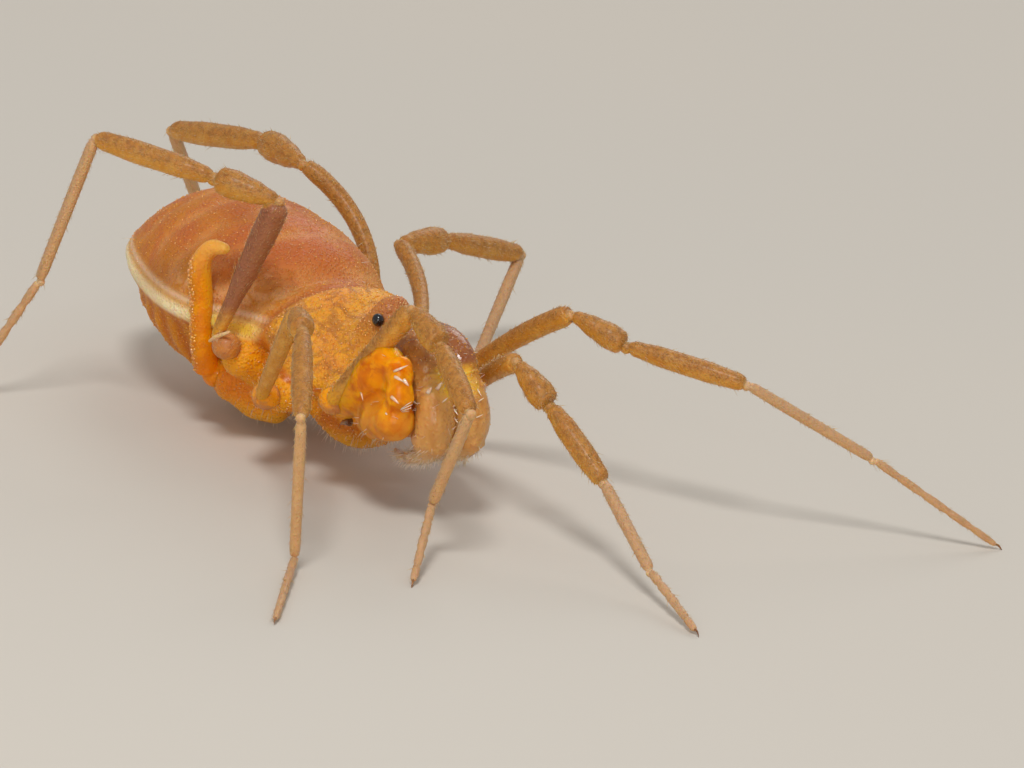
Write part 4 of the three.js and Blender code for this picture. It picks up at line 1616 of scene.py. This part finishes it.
def add_area_light(name, place, size, power):
    light = bpy.data.lights.new(name, "AREA")
    light.shape = "DISK"
    light.size = size
    light.energy = power
    obj = bpy.data.objects.new(name, light)
    bpy.context.scene.collection.objects.link(obj)
    obj.location = place
    aim = Vector((0, 0, 0.0015)) - Vector(place)
    obj.rotation_euler = aim.to_track_quat("-Z", "Y").to_euler()


def add_camera(context):
    azimuth, elevation, lean = map(math.radians, (CAMERA_AZIMUTH, CAMERA_ELEVATION, CAMERA_LEAN))
    level = np.array([math.sin(azimuth), math.cos(azimuth), 0])
    away = np.array([-math.cos(azimuth), math.sin(azimuth), 0])
    upright = np.array([0, 0, 1.0])
    ahead = away * math.cos(elevation) - upright * math.sin(elevation)
    above = upright * math.cos(elevation) + away * math.sin(elevation)
    right = level * math.cos(lean) + above * math.sin(lean)
    up = above * math.cos(lean) - level * math.sin(lean)
    focal = PIXELS_PER_MM * CAMERA_DISTANCE
    offset = ((BODY_PIXEL[0] - IMAGE[0] / 2) * right + (IMAGE[1] / 2 - BODY_PIXEL[1]) * up) / focal
    centre = np.array([PLACE[0], PLACE[1], RIM_HEIGHT])
    place = (centre - CAMERA_DISTANCE * (ahead + offset)) * MM
    camera = bpy.data.cameras.new("camera")
    camera.sensor_width = SENSOR
    camera.lens = focal * SENSOR / IMAGE[0]
    camera.clip_start = 0.005
    camera.clip_end = 5
    obj = bpy.data.objects.new("camera", camera)
    context.scene.collection.objects.link(obj)
    rotation = Matrix((right, up, -ahead)).transposed().to_4x4()
    obj.matrix_world = Matrix.Translation(Vector(place)) @ rotation
    context.scene.camera = obj


# Add-on


def length_property(name, text, millimetres):
    return FloatProperty(name=name, description=text, default=millimetres * MM, unit="LENGTH")


class HarvestmanSizes(bpy.types.PropertyGroup):
    rim_bead: length_property("Rim bead", "How far the pale rim stands out", 0.035)
    band_depth: length_property("Band depth", "Depth of the grooves across the back", 0.022)
    waist_depth: length_property("Waist depth", "Depth of the fold behind the carapace", 0.07)
    skin_fineness: length_property("Skin fineness", "Size of the trunk skin's faces", 0.03)
    granule_radius: length_property("Granule radius", "Radius of a granule", 0.012)
    granule_count: IntProperty(
        name="Granules", description="Number of granules on the trunk", default=3800)
    leg_stoutness: FloatProperty(
        name="Leg stoutness", description="Factor on every leg's thickness", default=1.0)
    down_per_leg: IntProperty(
        name="Down per leg", description="Number of fine hairs on each leg", default=1800)
    down_length: length_property("Down length", "Length of the legs' fine hairs", 0.035)


COLOURS = {
    "back_salmon": ("Pinkish part of the back", (0.54, 0.14, 0.025)),
    "back_orange": ("Orange part of the back", (0.58, 0.19, 0.01)),
    # This colour also paints the shadow patches that the legs cast on the back.
    "back_deep": ("Deeper blotches of the back", (0.42, 0.09, 0.015)),
    "back_gold": ("Golden lower parts of the back", (0.62, 0.22, 0.006)),
    # Pinkish tone: a painted sheen above the near rim, and real pinkish blotches on the carapace.
    "back_blush": ("Pinkish bloom above the near rim", (0.74, 0.36, 0.14)),
    "groove": ("Paler bands across the back", (0.72, 0.3, 0.08)),
    "gutter": ("Gutter above the pale rim", (0.66, 0.3, 0.02)),
    # Partly pale granules, partly a painted highlight line along the ridge.
    "ridge": ("Thin pale ridge above the rim", (0.88, 0.58, 0.4)),
    "rim": ("Pale rim of the shield", (1.0, 0.74, 0.42)),
    "rim_front": ("Yellow front stretch of the rim", (0.92, 0.54, 0.05)),
    "carapace": ("Ground colour of the carapace", (0.84, 0.33, 0.03)),
    "carapace_gold": ("Golden parts of the carapace", (0.86, 0.4, 0.008)),
    "hill": ("Reddish brown of the eye hill", (0.44, 0.15, 0.05)),
    "mottling": ("Dark net on the carapace", (0.3, 0.09, 0.028)),
    "flank": ("Sides below the rim", (0.58, 0.15, 0.001)),
    # Painted highlight on the pleats' raised crests.
    "flank_light": ("Light pleats of the sides", (0.75, 0.28, 0.004)),
    "coxa": ("First articles of the legs", (0.9, 0.34, 0.001)),
    "coxa_red": ("First articles of the hind legs", (0.8, 0.22, 0.002)),
    "belly": ("Underside", (0.92, 0.4, 0.01)),
    # Pale specks on the grain's tops are partly painted glints; the same colour also mottles the
    # spines.
    "speck": ("Tops of the granules", (0.8, 0.45, 0.28)),
    "granule": ("Paler granules", (0.8, 0.36, 0.13)),
    "leg_gold": ("Light parts of the legs", (0.72, 0.36, 0.06)),
    "leg_amber": ("Amber parts of the legs", (0.64, 0.27, 0.025)),
    "leg_brown": ("Backs of the legs", (0.34, 0.14, 0.04)),
    # Painted shade: this purple-brown on the right third femur stands for the shadow on the near
    # side.
    "leg_rust": ("Reddish back of the right third femur", (0.3, 0.1, 0.055)),
    "leg_dark": ("Dark mottling of the legs", (0.13, 0.045, 0.014)),
    "leg_pale": ("Ends of the legs", (0.6, 0.4, 0.24)),
    "leg_root": ("Yellow roots of the legs", (0.76, 0.36, 0.01)),
    "membrane": ("Skin of the joints", (0.8, 0.56, 0.3)),
    "dusky": ("Trochanter of the right third leg", (0.4, 0.14, 0.035)),
    "trochanter": ("Pinkish second articles of the legs", (0.6, 0.23, 0.06)),
    "short_leg": ("The short hind leg", (0.72, 0.22, 0.006)),
    "short_inner": ("Yellow inner edge of the short leg", (0.82, 0.36, 0.01)),
    "short_tip": ("Pale tip of the short leg", (0.8, 0.42, 0.08)),
    "palp": ("Bright amber of the pedipalps", (0.9, 0.31, 0.001)),
    "palp_deep": ("Deeper amber of the pedipalps", (0.62, 0.13, 0.001)),
    "palp_gold": ("Golden spots of the pedipalps", (0.92, 0.4, 0.003)),
    "palp_dull": ("Ends of the pedipalps", (0.66, 0.25, 0.02)),
    "bulla": ("First articles of the chelicerae", (0.6, 0.28, 0.06)),
    "chelicera": ("Brown of the chelicerae", (0.52, 0.22, 0.045)),
    "chelicera_pale": ("Light streaks of the chelicerae", (0.72, 0.38, 0.11)),
    "chelicera_dark": ("Dark tops of the chelicerae", (0.28, 0.08, 0.022)),
    "collar": ("Yellow skin between the chelicera's articles", (0.88, 0.5, 0.02)),
    "finger": ("Fingers of the chelicerae", (0.66, 0.42, 0.2)),
    "spine": ("Spines and pale hairs", (0.95, 0.82, 0.68)),
    "down": ("Fine hairs of the legs", (0.68, 0.48, 0.3)),
    "floor": ("The plain floor", (0.6, 0.56, 0.5)),
    "floor_warm": ("Warmer parts of the floor", (0.62, 0.57, 0.5)),
}


class HarvestmanColours(bpy.types.PropertyGroup):
    __annotations__ = {
        key: FloatVectorProperty(
            name=key.replace("_", " ").capitalize(), description=text, default=value,
            subtype="COLOR", min=0, max=1)
        for key, (text, value) in COLOURS.items()
    }


class HARVESTMAN_OT_trunk(bpy.types.Operator):
    """Builds one skin over the trunk and the coxae"""
    bl_idname = "harvestman.trunk"
    bl_label = "Trunk"

    def execute(self, context):
        make_trunk(context)
        return {"FINISHED"}


class HARVESTMAN_OT_granules(bpy.types.Operator):
    """Sets granules on the trunk"""
    bl_idname = "harvestman.granules"
    bl_label = "Granules"

    def execute(self, context):
        make_granules(context)
        return {"FINISHED"}


class HARVESTMAN_OT_eyes(bpy.types.Operator):
    """Builds the two eyes"""
    bl_idname = "harvestman.eyes"
    bl_label = "Eyes"

    def execute(self, context):
        make_eyes()
        return {"FINISHED"}


class HARVESTMAN_OT_legs(bpy.types.Operator):
    """Builds the seven whole legs with their claws"""
    bl_idname = "harvestman.legs"
    bl_label = "Legs"

    def execute(self, context):
        for leg in LEG_POSES:
            make_leg(context, leg)
        make_claws()
        return {"FINISHED"}


class HARVESTMAN_OT_short_leg(bpy.types.Operator):
    """Builds the short curved hind leg"""
    bl_idname = "harvestman.short_leg"
    bl_label = "Short leg"

    def execute(self, context):
        make_short_leg()
        return {"FINISHED"}


class HARVESTMAN_OT_mouthparts(bpy.types.Operator):
    """Builds the chelicerae and the pedipalps with their claws, spines and granules"""
    bl_idname = "harvestman.mouthparts"
    bl_label = "Mouthparts"

    def execute(self, context):
        for letter in "lr":
            make_chelicera(letter)
            make_palp(letter)
        make_palp_claws()
        make_palp_spines()
        make_small_granules()
        return {"FINISHED"}


class HARVESTMAN_OT_hairs(bpy.types.Operator):
    """Sets the down of the legs and the hairs of the body"""
    bl_idname = "harvestman.hairs"
    bl_label = "Hairs"

    def execute(self, context):
        make_leg_down(context)
        make_body_hairs()
        return {"FINISHED"}


class HARVESTMAN_OT_stage(bpy.types.Operator):
    """Adds the floor, lights and camera"""
    bl_idname = "harvestman.stage"
    bl_label = "Stage"

    def execute(self, context):
        make_stage(context)
        return {"FINISHED"}


OPERATORS = (
    HARVESTMAN_OT_trunk,
    HARVESTMAN_OT_granules,
    HARVESTMAN_OT_eyes,
    HARVESTMAN_OT_legs,
    HARVESTMAN_OT_short_leg,
    HARVESTMAN_OT_mouthparts,
    HARVESTMAN_OT_hairs,
    HARVESTMAN_OT_stage,
)


class HARVESTMAN_PT_panel(bpy.types.Panel):
    """Lists the pieces and their sizes and colours"""
    bl_idname = "HARVESTMAN_PT_panel"
    bl_label = "Harvestman"
    bl_space_type = "VIEW_3D"
    bl_region_type = "UI"
    bl_category = "Harvestman"

    def draw(self, context):
        for operator in OPERATORS:
            self.layout.operator(operator.bl_idname)
        for group in (context.scene.harvestman_sizes, context.scene.harvestman_colours):
            box = self.layout.box()
            for name in group.__annotations__:
                box.prop(group, name)


CLASSES = (HarvestmanSizes, HarvestmanColours, *OPERATORS, HARVESTMAN_PT_panel)


def register():
    for made in CLASSES:
        bpy.utils.register_class(made)
    bpy.types.Scene.harvestman_sizes = PointerProperty(type=HarvestmanSizes)
    bpy.types.Scene.harvestman_colours = PointerProperty(type=HarvestmanColours)


def unregister():
    del bpy.types.Scene.harvestman_colours
    del bpy.types.Scene.harvestman_sizes
    for made in reversed(CLASSES):
        bpy.utils.unregister_class(made)


def main():
    register()
    bpy.ops.harvestman.trunk()
    bpy.ops.harvestman.granules()
    bpy.ops.harvestman.eyes()
    bpy.ops.harvestman.legs()
    bpy.ops.harvestman.short_leg()
    bpy.ops.harvestman.mouthparts()
    bpy.ops.harvestman.hairs()
    bpy.ops.harvestman.stage()


if __name__ == "__main__":
    main()
